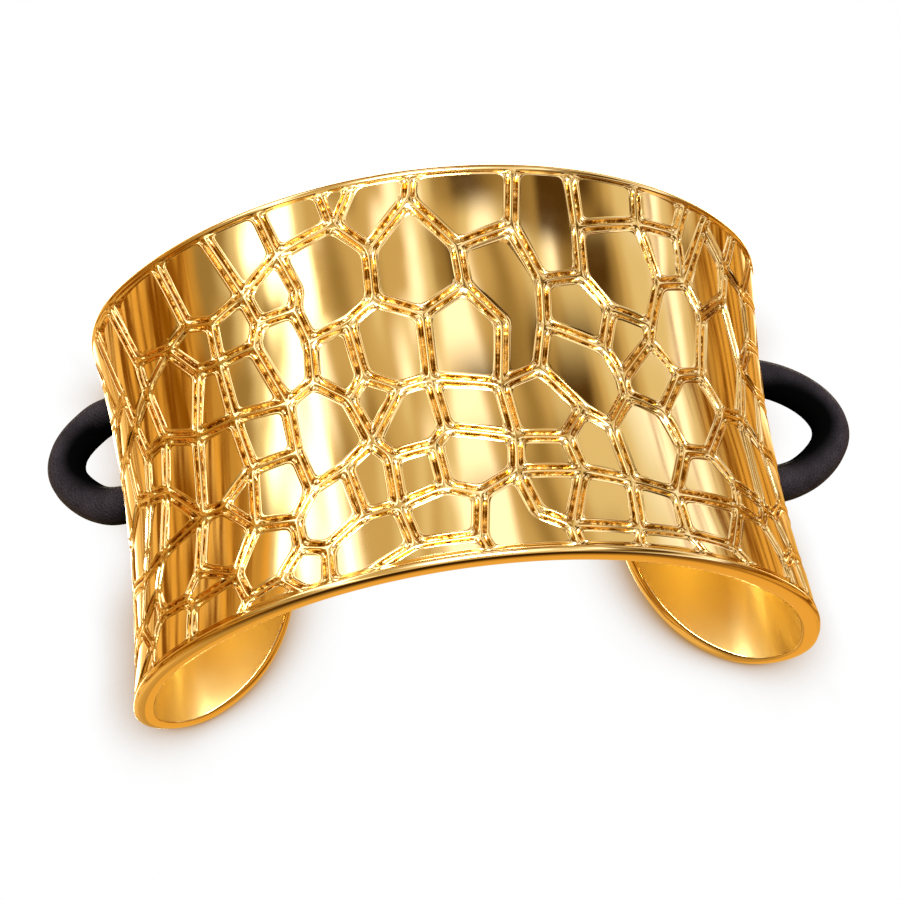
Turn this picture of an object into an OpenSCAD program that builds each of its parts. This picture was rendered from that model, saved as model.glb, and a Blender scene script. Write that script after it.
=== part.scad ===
// Ponytail cuff: one curved band of metal with a raised crocodile-skin pattern,
// open underneath between two curled-in rounded ends, and a loop of covered hair
// elastic threaded through two slots in each end.
// Millimetres. X runs across the cuff, Y along the ponytail, Z up. The cuff rests on
// its curled ends with the gap down, and the origin is on the surface under its middle.

/* [Band] */
// Width between the outer faces at the widest height
band_w = 58.4; // [55:0.1:62]
// Height of the crown's outer face above the widest height
crown_h = 23.6; // [22:0.1:25.5]
// Turn of the shallow crown arc on each side of the middle, in degrees
crown_turn = 55; // [50:1:60]
// Length of the band along the ponytail
band_len = 37; // [34:0.5:42]
// Thickness of the metal
wall = 1.65; // [1.4:0.05:1.8]
// How far both rims flare outward past the middle
flare = 1.3; // [0.6:0.1:1.8]
// How far each side leans outward at the far rim and inward at the near rim
taper = 0.5; // [0:0.1:1]

/* [Curled ends] */
// Outer radius of the curl below the widest height
curl_r = 5; // [4.6:0.1:6]
// Turn of the curl, in degrees
curl_turn = 95; // [90:1:100]
// Length of each end past its curl
end_run = 9.6; // [8.5:0.1:11]
// Radius of each end past its curl
end_r = 40; // [30:1:60]
// Length over which each end rounds off, along the arc
end_round = 19.1; // [18:0.1:20]
// Squareness of the rounded end, where 2 is an ellipse
end_square = 2.4; // [2:0.1:3]

/* [Relief] */
// Width of the sunken channels between the pads
channel_w = 1.5; // [1:0.1:1.8]
// Depth of the channels below the pads' edges
channel_h = 0.4; // [0.2:0.05:0.6]
// How far the middle of a pad stands above its edge
pad_dome = 0.12; // [0:0.02:0.2]
// Width of the slope down a pad's edge
pad_slope = 0.15; // [0.05:0.05:0.2]
// Width of the raised rim
rim_w = 0.8; // [0.6:0.05:1]
// Height of the rim above the pads' edges
rim_h = 0.08; // [0:0.02:0.2]
// Width of the groove between the rim and the pads
rim_gap = 0.25; // [0.15:0.05:0.4]
// Rounding of the rim's two corners
rim_round = 0.2; // [0.1:0.05:0.3]

/* [Slots] */
// Distance of the slots' middle past the widest height, along the arc
slot_drop = 2.2; // [1.8:0.1:2.8]
// Height of each slot, along the arc
slot_h = 4.7; // [4.5:0.1:5]
// Margin of plain metal around a slot
slot_margin = 0.6; // [0.4:0.05:0.7]
// Corner of a slot
slot_corner = 1.5; // [1.2:0.1:1.7]
// Near end of the near slot, from the middle of the band's length
near_start = -3.4; // [-4.2:0.1:-2.5]
// Length of the near slot
near_len = 8.4; // [8:0.1:8.8]
// Width of the metal bridge between the slots
bridge = 3.1; // [2.8:0.1:3.6]
// Length of the far slot
far_len = 6.3; // [6:0.1:6.5]

/* [Elastic] */
// Thickness of the covered elastic
elastic_d = 3.5; // [3:0.1:3.6]
// Clearance of the elastic from the slots' ends, the band's ends and the surface
elastic_gap = 0.15; // [0.1:0.05:0.3]
// How far the middle of the left lobe stands out past the widest height
left_lobe = 4.9; // [4.5:0.1:6]
// How far the middle of the right lobe stands out past the widest height
right_lobe = 7.1; // [6:0.1:8]

/* [Hidden] */

// Widest turn that one step of the surface takes, in degrees
STEP_TURN = 13;
// Share of a pad's side that is left rounded at each corner
CORNER = 0.12;
// Share of a small pad's inner radius that the channel may take
SMALL = 0.45;
// Distance that the middle of a pad keeps from the line of each side
MARGIN = 0.15;

// Where each arc of the section ends, along the arc from the crown
half_w = band_w / 2;
half_len = band_len / 2;
arc_split = (half_w - crown_h) / (cos(crown_turn) + sin(crown_turn) - 1);
crown_r = crown_h + arc_split * cos(crown_turn);
side_r = half_w - arc_split * sin(crown_turn);
crown_end = crown_r * crown_turn * PI / 180;
side_end = crown_end + side_r * (90 - crown_turn) * PI / 180;
curl_end = side_end + curl_r * curl_turn * PI / 180;
half_arc = curl_end + end_run;
round_start = half_arc - end_round;
end_turn = 90 + curl_turn;

// The section's four arcs as columns: end along the arc, turn at the start, radius, centre
CURL_C = [half_w - curl_r, 0];
ARCS = [
    [crown_end, 0, crown_r, [0, crown_h - crown_r]],
    [side_end, crown_turn, side_r, [half_w - side_r, 0]],
    [curl_end, 90, curl_r, CURL_C],
    [half_arc, end_turn, end_r, CURL_C + (curl_r - end_r) * [sin(end_turn), cos(end_turn)]]];

function arc_at(s) = s < crown_end ? 0 : s < side_end ? 1 : s < curl_end ? 2 : 3;
function turn_at(s) =
    let (k = arc_at(abs(s)), start = k == 0 ? 0 : ARCS[k - 1][0])
    sign(s) * (ARCS[k][1] + (abs(s) - start) / ARCS[k][2] * 180 / PI);

// Point of the band: s along the arc from the crown, y along the ponytail, and the level
// above the outer face
function on_band(flat, level) =
    let (a = ARCS[arc_at(abs(flat[0]))], t = abs(turn_at(flat[0])), q = flat[1] / half_len,
        r = a[2] + flare * q * q + level,
        x = a[3][0] + r * sin(t) + taper * q * sin(min(t, 90)))
    [sign(flat[0]) * x, flat[1], a[3][1] + r * cos(t)];

// Half length of the band at s, and the outline's own parameter, which grows evenly around
// a rounded end
function half_len_at(s) =
    let (p = max(0, abs(s) - round_start) / end_round)
    half_len * pow(1 - pow(p, end_square), 1 / end_square);
function outline_at(s) =
    let (p = (abs(s) - round_start) / end_round)
    p < 0 ? s : sign(s) * (round_start + end_round * asin(pow(p, end_square / 2)) / 90);
// Point of the flat at an outline parameter, inset from the edge
function outline_flat(o, far, inset) =
    abs(o) < round_start ? [o, far * (half_len - inset)] :
    let (a = (abs(o) - round_start) / end_round * 90, e = 2 / end_square,
        edge = [round_start + end_round * pow(sin(a), e), far * half_len * pow(cos(a), e)],
        n = [pow(sin(a), 2 - e) / end_round, far * pow(cos(a), 2 - e) / half_len],
        p = edge - inset * n / norm(n))
    [sign(o) * p[0], p[1]];

// The pattern's corners, charted by hand as columns: name, place across in percent of the
// half arc, place along in percent of the half length there
CHART = [
    ["r0", -63.5, 100], ["r1", -56.5, 100], ["r2", -44, 100], ["r3", -34.7, 100],
    ["r4", -25.7, 100], ["r5", -16.2, 100], ["r6", -12.2, 100], ["r7", -3.8, 100],
    ["r8", 10.4, 100], ["r9", 18.9, 100], ["r10", 29.7, 100], ["r11", 39.5, 100],
    ["r12", 44.8, 100], ["r13", 52.2, 100], ["r14", 60.5, 100], ["a1", -24, 72], ["a2", -15.3, 79],
    ["a3", -11, 62.5], ["a4", -4.6, 84], ["a5", 1.2, 58.5], ["a6", 9.3, 68], ["a7", 19.2, 69],
    ["a8", 29.5, 76.5], ["a9", 37.2, 77.5], ["a10", 43.7, 90], ["a11", 48.8, 74],
    ["b1", -40.5, 58], ["b2", -36.2, 52.5], ["b3", -30.2, 58.5], ["b4", -28.6, 42.5],
    ["b5", -22.8, 42.5], ["b6", -22, 51], ["b7", -45, 52], ["b8", -52, 57], ["b9", -51.2, 40],
    ["b10", -57.8, 48.5], ["b11", -11.4, 37.5], ["b12", 1.4, 38.5], ["b13", 12.7, 40],
    ["b14", 18.9, 44], ["b15", 22.8, 28], ["b16", 32.3, 47.5], ["b17", 37.7, 52.5],
    ["b18", 40.7, 37.5], ["b19", 47.1, 54], ["b20", 54.1, 66], ["b21", 54.4, 39],
    ["c1", -55.8, 29.5], ["c2", -60.3, 22], ["c3", -53.5, 9.5], ["c4", -48.6, 11.5],
    ["c5", -40, 32.5], ["c6", -36, 31.5], ["c7", -29.9, 32], ["c8", -21.3, 24.5],
    ["c9", -15.4, 29], ["c10", -4.9, 26.5], ["c11", 6, 18.5], ["c12", 12, 17], ["c13", 20.7, 7],
    ["c14", 29.5, 23.5], ["c15", 28.8, 14.5], ["c16", 50.2, 19], ["c17", 55.2, 13.5],
    ["c18", 38.2, 4], ["c19", 33.5, 0], ["d1", -42, 2], ["d2", -34.8, 1.5], ["d3", -26, -2],
    ["d4", -21.6, 4.5], ["d5", -16.9, -9], ["d6", -14.4, 0.5], ["d7", -9.7, -9], ["d8", -5.2, -7],
    ["d9", 4.4, -13], ["d10", 10.3, -5], ["d11", 23, -7], ["d12", 23.3, -16.5],
    ["d13", 42.4, -12.5], ["d14", 47.5, -10.5], ["d15", 52.5, -20], ["d16", -58.4, -7],
    ["d17", -54.4, -11], ["d18", -49.8, -14.5], ["e1", -42.5, -38.5], ["e2", -38.3, -39],
    ["e3", -32.8, -27.5], ["e4", -25.5, -27.5], ["e5", -14.5, -32.5], ["e6", -4.2, -33],
    ["e7", 5.2, -40], ["e8", 12.4, -40.5], ["e9", 15.6, -26], ["e10", 19.6, -33.5],
    ["e11", 29.1, -21.5], ["e12", 31.6, -41], ["e13", 36.5, -39], ["e14", 44.8, -54],
    ["e15", 47.7, -57], ["e16", 54.8, -47], ["e17", -56.7, -35], ["e18", -58, -48],
    ["e19", -52, -44.5], ["f1", -33.2, -55.5], ["f2", -26.7, -60.5], ["f3", -23.8, -48],
    ["f4", -18.6, -42], ["f5", -12.2, -42], ["f6", -6.1, -40], ["f7", -5.5, -61.5],
    ["f8", -0.9, -67], ["f9", 4.5, -57.5], ["f10", 13.7, -58], ["f11", 20.9, -62],
    ["f12", 28, -65.5], ["f13", 40.3, -64.5], ["f14", 40.9, -51.5], ["f15", 45.6, -67.5],
    ["f16", 50.5, -58.5], ["f17", 54, -74], ["f18", -54.2, -60], ["f19", -59.9, -70],
    ["f20", -53, -73.5], ["f21", -46.8, -74.5], ["f22", -43.9, -64.5], ["g1", -45.6, -79],
    ["g2", -36.9, -75.5], ["g3", -35, -90.5], ["g4", -29.7, -87], ["g5", -26.3, -74.5],
    ["g6", -22.4, -79], ["g7", -16.9, -68], ["g8", -12, -67], ["g9", -10.5, -88],
    ["g10", -2, -88.5], ["g11", 6.3, -79], ["g12", 10.6, -86], ["g13", 20.3, -87],
    ["g14", 28.3, -87], ["g15", 36.3, -88.5], ["g16", 49.9, -84.5], ["g17", -55.7, -85],
    ["z0", -61, -100], ["z1", -55.5, -100], ["z2", -46.1, -100], ["z3", -36.2, -100],
    ["z4", -26.9, -100], ["z5", -22.5, -100], ["z6", -15.8, -100], ["z7", -1.2, -100],
    ["z8", 11, -100], ["z9", 19.8, -100], ["z10", 30.3, -100], ["z11", 39, -100],
    ["z12", 50, -100], ["z13", 55.5, -100]];
// The corners of each curled end, mirrored to both sides, in the same columns
END_CHART = [
    ["s0", 70, 100], ["s1", 65.5, 72], ["s2", 64, 46], ["s3", 65.5, 20], ["s4", 64, -20],
    ["s5", 66, -42], ["s6", 64.5, -70], ["s7", 67, -100], ["p1", 76, 100], ["p2", 84, 100],
    ["p3", 92, 100], ["p4", 96, 100], ["p5", 98.8, 100], ["p6", 99.7, 100], ["p7", 100, 0],
    ["q1", 75, -100], ["q2", 84, -100], ["q3", 91.5, -100], ["q4", 96, -100],
    ["q5", 98.8, -100], ["q6", 99.7, -100], ["m1", 73.5, -46], ["m2", 74.5, -74],
    ["k1", 84, 66], ["k2", 85.5, 38], ["k3", 83.5, 10], ["k4", 85.5, -16], ["k5", 83.5, -46],
    ["k6", 85, -72], ["t1", 92, 46], ["t2", 92.5, -6], ["t3", 92, -52]];

// The pads, each as its corners in turn, clockwise seen from outside
PADS = [
    ["r0", "r1", "b8", "b9", "c1", "b10"], ["r1", "r2", "b1", "b7", "b8"],
    ["r2", "r3", "b3", "b2", "b1"], ["r3", "r4", "a1", "b3"], ["r4", "r5", "a2", "a1"],
    ["r5", "r6", "a2"], ["r6", "r7", "a4", "a3", "a2"], ["r7", "r8", "a6", "a5", "a4"],
    ["r8", "r9", "a7", "b14", "b13", "a6"], ["r9", "r10", "a8", "a7"], ["r10", "r11", "a9", "a8"],
    ["r11", "r12", "a10", "b17", "a9"], ["r12", "r13", "a11", "a10"], ["r13", "r14", "b20", "a11"],
    ["b8", "b7", "b9"], ["b9", "b7", "c5", "d1", "c4"], ["b7", "b1", "b2", "c6", "c5"],
    ["b2", "b3", "b4", "c7", "c6"], ["b3", "a1", "b6", "b5", "b4"],
    ["b6", "a1", "a2", "a3", "b11", "c9", "c8", "b5"], ["b4", "b5", "c8", "d4", "d3", "c7"],
    ["a3", "a4", "a5", "b12", "c10", "b11"], ["a5", "a6", "b13", "c12", "d10", "d9", "c11", "b12"],
    ["b13", "b14", "b15", "c13", "c12"], ["b14", "a7", "a8", "b16", "c14", "b15"],
    ["a8", "a9", "b17", "b16"], ["b16", "b17", "b18", "c18", "c19", "c15", "c14"],
    ["b17", "a10", "a11", "b19", "b18"], ["a11", "b20", "b21", "c16", "b19"],
    ["b18", "b19", "c16", "d14", "d13", "c18"], ["c5", "c6", "d2", "d1"], ["c6", "c7", "d3", "d2"],
    ["c8", "c9", "d6", "d5", "d4"], ["c9", "b11", "c10", "d8", "d7", "d6"],
    ["c10", "b12", "c11", "d9", "d8"], ["c12", "c13", "d11", "d12", "e10", "e9", "d10"],
    ["c13", "b15", "c14", "c15", "d11"], ["c15", "c19", "e11", "d12", "d11"],
    ["c19", "c18", "d13", "e13", "e12", "e11"], ["d13", "d14", "e15", "e14", "f14", "e13"],
    ["c16", "c17", "d15", "d14"], ["d14", "d15", "e16", "f16", "e15"], ["b9", "c4", "c3", "c1"],
    ["c4", "d1", "e1", "d18"], ["c3", "c4", "d18", "d17"], ["c1", "c3", "d17", "d16", "c2"],
    ["d1", "d2", "e3", "e2", "e1"], ["d2", "d3", "e4", "e3"],
    ["d3", "d4", "d5", "e5", "f4", "f3", "e4"], ["d6", "d7", "e5", "d5"],
    ["d7", "d8", "e6", "f6", "f5", "e5"], ["d8", "d9", "e7", "e6"], ["d9", "d10", "e9", "e8", "e7"],
    ["e9", "e10", "f11", "f10", "e8"], ["d12", "e11", "e12", "f12", "f11", "e10"],
    ["e12", "e13", "f14", "f13", "f12"], ["f14", "e14", "e15", "f15", "f13"],
    ["e15", "f16", "f17", "g16", "f15"], ["d17", "d18", "e19", "e18", "e17"], ["d18", "e1", "e19"],
    ["e1", "f22", "f21", "f20", "f18", "e19"], ["e18", "e19", "f18", "f19"],
    ["e1", "e2", "f1", "g2", "f22"], ["e2", "e3", "f1"], ["e3", "e4", "f3", "f2", "f1"],
    ["f3", "f4", "g7", "g6", "g5", "f2"], ["f4", "e5", "f5", "g8", "g7"], ["f5", "f6", "f7", "g8"],
    ["f6", "e6", "e7", "f9", "f8", "f7"], ["e7", "e8", "f10", "f9"],
    ["f8", "f9", "g11", "g12", "z8", "z7", "g10"], ["f9", "f10", "g12", "g11"],
    ["f10", "f11", "g13", "g12"], ["f11", "f12", "g14", "g13"], ["f12", "f13", "g15", "g14"],
    ["f13", "f15", "g16", "z12", "z11", "g15"], ["g16", "f17", "z13", "z12"],
    ["f19", "f18", "f20", "g17"], ["g17", "z1", "z0"], ["g17", "f20", "f21", "g1", "z2", "z1"],
    ["f22", "g2", "g1", "f21"], ["g2", "g3", "z3", "z2", "g1"], ["f1", "f2", "g5", "g4", "g3", "g2"],
    ["g3", "g4", "z4", "z3"], ["g4", "g5", "g6", "z5", "z4"], ["g6", "g7", "g8", "g9", "z6", "z5"],
    ["g8", "f7", "f8", "g10", "g9"], ["g9", "g10", "z7", "z6"], ["g12", "g13", "z9", "z8"],
    ["g13", "g14", "z10", "z9"], ["g14", "g15", "z11", "z10"],
    ["r0", "b10", "Ls2", "Ls1", "Ls0"], ["b10", "c1", "c2", "Ls3", "Ls2"], ["c2", "d16", "Ls4", "Ls3"],
    ["d16", "d17", "e17", "e18", "Ls5", "Ls4"], ["e18", "f19", "Ls6", "Ls5"],
    ["f19", "g17", "z0", "Ls7", "Ls6"],
    ["r14", "Rs0", "Rs1", "b20"], ["b20", "Rs1", "Rs2", "b21"], ["b21", "Rs2", "Rs3", "c17", "c16"],
    ["c17", "Rs3", "Rs4", "d15"], ["d15", "Rs4", "Rs5", "e16"], ["e16", "Rs5", "Rs6", "f17", "f16"],
    ["f17", "Rs6", "Rs7", "z13"]];
END_PADS = [
    ["s0", "p1", "f2", "f1", "s1"], ["s1", "f1", "f0", "s2"], ["s2", "f0", "f7", "n2", "n1", "s3"],
    ["s3", "n1", "n0", "s4"], ["s4", "n0", "n7", "m1", "s5"], ["s5", "m1", "m2", "s6"],
    ["s6", "m2", "q1", "s7"], ["n2", "f7", "f6", "n3"], ["f2", "p1", "p2", "k1", "f4", "f3"],
    ["f4", "k1", "k2", "f5"], ["f5", "k2", "k3", "n4", "n3", "f6"], ["n4", "k3", "k4", "n5"],
    ["n5", "k4", "k5", "m1", "n7", "n6"], ["m1", "k5", "k6", "m2"], ["m2", "k6", "q2", "q1"],
    ["p2", "p3", "t1", "k2", "k1"], ["k2", "t1", "t2", "k4", "k3"], ["k4", "t2", "t3", "k6", "k5"],
    ["k6", "t3", "q3", "q2"], ["t1", "p3", "p4", "p5", "p6", "p7", "t2"],
    ["t2", "p7", "q6", "q5", "q4", "q3", "t3"]];

// The slots: their middle along the arc, their ends along the ponytail, and how much wider
// they are set out on the inner face, so that their walls run straight through the curl
slot_s = side_end + slot_drop;
far_start = near_start + near_len + bridge;
SLOT_Y = [["n", near_start, near_start + near_len], ["f", far_start, far_start + far_len]];
slot_open = (curl_r - channel_h) / (curl_r - wall);

// Corners of a slot, from the crown side clockwise, as columns: place in the slot's height
// and place along the ponytail
function slot_corners(y0, y1) =
    let (h = slot_h / 2, c = slot_corner)
    [[-h, y0 + c], [-h, y1 - c], [c - h, y1], [h - c, y1],
        [h, y1 - c], [h, y0 + c], [h - c, y0], [c - h, y0]];

// Every corner as columns: name, flat point of the outer face, flat point of the inner face,
// the edge it lies on, outline parameter, side of the outline
function chart_corner(name, side, across, along) =
    let (s = side * across / 100 * half_arc, o = outline_at(s), far = sign(along),
        inner = [s, along / 100 * half_len_at(s)])
    abs(along) == 100 || across == 100
        ? [name, outline_flat(o, far, rim_w), outline_flat(o, far, rim_round), "rim", o, far]
        : [name, inner, inner, "", 0, 0];
function slot_corner_at(name, side, slot, at) =
    [name, [side * (slot_s + at[0]), at[1]], [side * (slot_s + at[0] * slot_open), at[1]],
        slot, 0, 0];
function end_name(side, name) = str(side < 0 ? "L" : "R", name);
CORNERS = concat(
    [for (c = CHART) chart_corner(c[0], 1, c[1], c[2])],
    [for (side = [-1, 1], c = END_CHART) chart_corner(end_name(side, c[0]), side, c[1], c[2])],
    [for (side = [-1, 1], slot = SLOT_Y) let (at = slot_corners(slot[1], slot[2]))
        for (i = [0:7])
            slot_corner_at(end_name(side, str(slot[0], i)), side, end_name(side, slot[0]), at[i])]);
ALL_PADS = concat(PADS,
    [for (p = END_PADS) [for (n = p) end_name(1, n)]],
    [for (p = END_PADS) [for (i = [len(p) - 1:-1:0]) end_name(-1, p[i])]]);
CELLS = [for (p = ALL_PADS) search(p, CORNERS, 1)];

function mix(a, b, f) = a * (1 - f) + b * f;
function on_edge(a, b, edge) = CORNERS[a][3] == edge && CORNERS[b][3] == edge;
function is_border(a, b) = CORNERS[a][3] != "" && CORNERS[a][3] == CORNERS[b][3];
function steps(a, b) =
    max(2, ceil(abs(turn_at(CORNERS[a][1][0]) - turn_at(CORNERS[b][1][0])) / STEP_TURN));

// Point j of n along a pad's side from corner a to corner b. Both pads that share a side
// work it out from the same end. The inset is the rim's.
function side_flat(a, b, j, n, inset, face) =
    let (lo = CORNERS[min(a, b)], hi = CORNERS[max(a, b)], f = (a < b ? j : n - j) / n)
    on_edge(a, b, "rim")
        ? outline_flat(mix(lo[4], hi[4], f), lo[5] == 0 ? hi[5] : lo[5], inset)
        : mix(lo[face], hi[face], f);
function side_points(a, b, inset, face) =
    let (n = steps(a, b)) [for (j = [0:n - 1]) side_flat(a, b, j, n, inset, face)];

// Corners of a pad moved inward, each side by its own width
function right_of(a, b) = let (d = (b - a) / norm(b - a)) [d[1], -d[0]];
function area(p) =
    abs(total([for (i = [0:len(p) - 1]) cross(p[i], p[(i + 1) % len(p)])])) / 2;
function around(p) =
    total([for (i = [0:len(p) - 1]) norm(p[i] - p[(i + 1) % len(p)])]);
function inset_corner(p, a, b, wa, wb) =
    let (x = cross(a, b))
    abs(x) < 0.2 ? p + (a * wa + b * wb) / 2
        : p + [wa * b[1] - wb * a[1], wb * a[0] - wa * b[0]] / x;
function inset_pad(p, w) =
    let (k = len(p), n = [for (i = [0:k - 1]) right_of(p[i], p[(i + 1) % k])])
    [for (i = [0:k - 1]) let (h = (i + k - 1) % k) inset_corner(p[i], n[h], n[i], w[h], w[i])];

// One pad with the channel floor around it, its slope, its dome and the inner face under it
function pad_patch(cell) =
    let (k = len(cell),
        corners = [for (c = cell) CORNERS[c][1]],
        room = SMALL * 2 * area(corners) / around(corners),
        w = [for (i = [0:k - 1]) let (a = cell[i], b = cell[(i + 1) % k])
            min(room, on_edge(a, b, "rim") ? rim_gap : is_border(a, b) ? slot_margin
                : channel_w / 2)],
        foot = inset_pad(corners, w),
        lip = inset_pad(corners, [for (v = w) v + min(pad_slope, room / 3)]),
        outer = [for (i = [0:k - 1]) each side_points(cell[i], cell[(i + 1) % k], rim_w, 1)],
        inner = [for (i = [0:k - 1]) each side_points(cell[i], cell[(i + 1) % k], rim_round, 2)],
        foot_ring = ring_along(cell, foot),
        lip_ring = ring_along(cell, lip),
        n = len(outer))
    [concat(
        [for (p = outer) on_band(p, -channel_h)],
        [for (p = foot_ring) on_band(p, -channel_h)],
        [for (p = lip_ring) on_band(p, 0)],
        [on_band(settle(middle(lip), lip, 12), pad_dome)],
        [for (p = inner) on_band(p, -wall)],
        [on_band(settle(middle(inner), inner, 12), -wall)]),
    concat(
        [for (i = [0:n - 1]) let (j = (i + 1) % n) each [
            [i, j, n + i], [j, n + j, n + i],
            [n + i, n + j, 2 * n + i], [n + j, 2 * n + j, 2 * n + i],
            [2 * n + i, 2 * n + j, 3 * n],
            [3 * n + 1 + j, 3 * n + 1 + i, 4 * n + 1]]])];
function ring_along(cell, p) =
    let (k = len(p))
    [for (i = [0:k - 1]) let (m = (i + 1) % k, n = steps(cell[i], cell[m]))
        for (j = [0:n - 1]) mix(p[i], p[m], CORNER + (1 - 2 * CORNER) * j / (n - 1))];
function total(v, i = 0) = i == len(v) - 1 ? v[i] : v[i] + total(v, i + 1);
function middle(p) = total(p) / len(p);
// Moves a point until it lies inside every side of a pad by a small margin
function settle(c, p, rounds) =
    rounds == 0 ? c :
    let (k = len(p), moves = [for (i = [0:k - 1])
        let (n = right_of(p[i], p[(i + 1) % k]), d = (c - p[i]) * n) max(0, MARGIN - d) * n])
    settle(c + total(moves), p, rounds - 1);

// The rim from the channel floor over its round top to the inner face, as columns: inset
// from the edge and level. A slot's wall goes straight from the one to the other.
RIM = [[rim_w, -channel_h], [rim_w - pad_slope, rim_h], [rim_round, rim_h],
    [0, rim_h - rim_round], [0, rim_round - wall], [rim_round, -wall]];
function border_rows(a, b) =
    let (n = steps(a, b))
    on_edge(a, b, "rim")
        ? [for (r = RIM) [for (j = [0:n]) on_band(side_flat(a, b, j, n, r[0], 1), r[1])]]
        : [for (face = [1, 2]) [for (j = [0:n])
            on_band(side_flat(a, b, j, n, 0, face), face == 1 ? -channel_h : -wall)]];
function border_patch(a, b) =
    let (rows = border_rows(a, b), n = len(rows[0]))
    [[for (r = rows) each r],
    [for (r = [0:len(rows) - 2], j = [0:n - 2]) let (i = r * n + j) each [
        [i + 1, i, i + n], [i + 1, i + n, i + n + 1]]]];

PATCHES = concat(
    [for (c = CELLS) pad_patch(c)],
    [for (c = CELLS) for (i = [0:len(c) - 1]) let (a = c[i], b = c[(i + 1) % len(c)])
        if (is_border(a, b)) border_patch(a, b)]);
STARTS = [for (i = 0, n = 0; i < len(PATCHES); n = n + len(PATCHES[i][0]), i = i + 1) n];
BAND_POINTS = [for (p = PATCHES) each p[0]];
// Height of the widest part above the surface that the band rests on
lift = -min([for (p = BAND_POINTS) p[2]]);

// Sets a piece on the surface, with the middle of the whole cuff's width at X = 0
module set_down() translate([(left_lobe - right_lobe) / 2, 0, lift]) children();

module cuff_band() {
    color("goldenrod")
        set_down()
            polyhedron(
                points = BAND_POINTS,
                faces = [for (i = [0:len(PATCHES) - 1]) for (f = PATCHES[i][1])
                    [for (v = f) v + STARTS[i]]]);
}

// The elastic's path. It lies against the far end of both left slots and the near end of
// both right slots, and over the band's ends.
elastic_r = elastic_d / 2;
reach = elastic_r + elastic_gap;
LEFT_Y = [far_start + far_len - reach, near_start + near_len - reach];
RIGHT_Y = [far_start + reach, near_start + reach];
// Straight way through the metal on each side of it
pass = 1;
// How far the path runs past the band's ends before it crosses the gap
over_end = on_band([half_arc, 0], -wall);
cross_z = over_end[2] + reach;
lobe_z = -lift + reach;
// The path of a lobe from its far strand to its near strand as columns: share of the lobe's
// reach, share of the way from the far strand to the near one, share of the drop that is left
LOBE = [[0.47, 0.03, 0.5], [0.85, 0.2, 0.14], [1, 0.46, 0], [0.9, 0.74, 0.08], [0.52, 0.95, 0.45]];

function through(side, y, level) = on_band([side * slot_s, y], level);
function lobe(side, ys, out) =
    [for (r = LOBE) [side * (half_w + out * r[0]), mix(ys[0], ys[1], r[1]),
        mix(lobe_z, through(side, ys[0], pass)[2], r[2])]];
function strand(side, y) =
    [[side * over_end[0], y, cross_z], [side * (over_end[0] + end_run * 0.6), y, cross_z],
        through(side, y, -wall - pass), through(side, y, pass)];
function reversed(p) = [for (i = [len(p) - 1:-1:0]) p[i]];
PATH = concat(
    strand(-1, LEFT_Y[0]), lobe(-1, LEFT_Y, left_lobe), reversed(strand(-1, LEFT_Y[1])),
    strand(1, RIGHT_Y[1]), reversed(lobe(1, RIGHT_Y, right_lobe)),
    reversed(strand(1, RIGHT_Y[0])));
PATH_STEPS = 3;
SIDES = 8;

// Smooth curve through the path's points, and the tube around it
function spline(p0, p1, p2, p3, f) =
    0.5 * (2 * p1 + (p2 - p0) * f + (2 * p0 - 5 * p1 + 4 * p2 - p3) * f * f
        + (3 * p1 - p0 - 3 * p2 + p3) * f * f * f);
function loop_points(p) =
    let (k = len(p))
    [for (i = [0:k - 1], j = [0:PATH_STEPS - 1])
        spline(p[(i + k - 1) % k], p[i], p[(i + 1) % k], p[(i + 2) % k], j / PATH_STEPS)];
function ring_at(p, i) =
    let (k = len(p), d = p[(i + 1) % k] - p[(i + k - 1) % k], t = d / norm(d),
        w = cross(t, [0, 0, 1]), side = w / norm(w), up = cross(side, t))
    [for (j = [0:SIDES - 1]) let (a = (j + 0.5) * 360 / SIDES)
        p[i] + elastic_r * (cos(a) * side + sin(a) * up)];

module hair_elastic() {
    line = loop_points(PATH);
    k = len(line);
    color("dimgray")
        set_down()
            polyhedron(
                points = [for (i = [0:k - 1]) each ring_at(line, i)],
                faces = [for (i = [0:k - 1], j = [0:SIDES - 1])
                    let (m = (j + 1) % SIDES, a = i * SIDES, b = ((i + 1) % k) * SIDES)
                    each [[a + j, a + m, b + j], [a + m, b + m, b + j]]]);
}

cuff_band();
hair_elastic();
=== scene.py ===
"""Ponytail cuff: the polished cast band, the covered hair elastic, and a plain studio."""
import math

import bpy
from mathutils import Matrix, Vector
from mathutils.geometry import delaunay_2d_cdt


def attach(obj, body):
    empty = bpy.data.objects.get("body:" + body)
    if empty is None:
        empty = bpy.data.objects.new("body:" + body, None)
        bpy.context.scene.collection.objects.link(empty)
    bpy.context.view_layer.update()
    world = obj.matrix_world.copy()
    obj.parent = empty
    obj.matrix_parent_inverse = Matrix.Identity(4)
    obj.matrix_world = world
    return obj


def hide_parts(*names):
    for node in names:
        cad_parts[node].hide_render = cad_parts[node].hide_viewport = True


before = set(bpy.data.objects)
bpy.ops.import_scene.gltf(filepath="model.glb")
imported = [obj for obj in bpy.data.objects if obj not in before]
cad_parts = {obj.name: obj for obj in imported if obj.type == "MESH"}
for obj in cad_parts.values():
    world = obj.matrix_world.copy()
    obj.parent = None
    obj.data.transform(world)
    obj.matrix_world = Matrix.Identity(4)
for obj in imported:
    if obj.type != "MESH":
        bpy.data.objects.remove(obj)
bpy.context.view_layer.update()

bl_info = {
    "name": "Ponytail Cuff",
    "version": (1, 0, 0),
    "blender": (4, 5, 0),
    "location": "3D View > Sidebar > Cuff",
    "description": "A gold-plated ponytail cuff, crocodile-skin pattern, with its hair elastic",
    "category": "Object",
}

MM = 0.001

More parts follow.
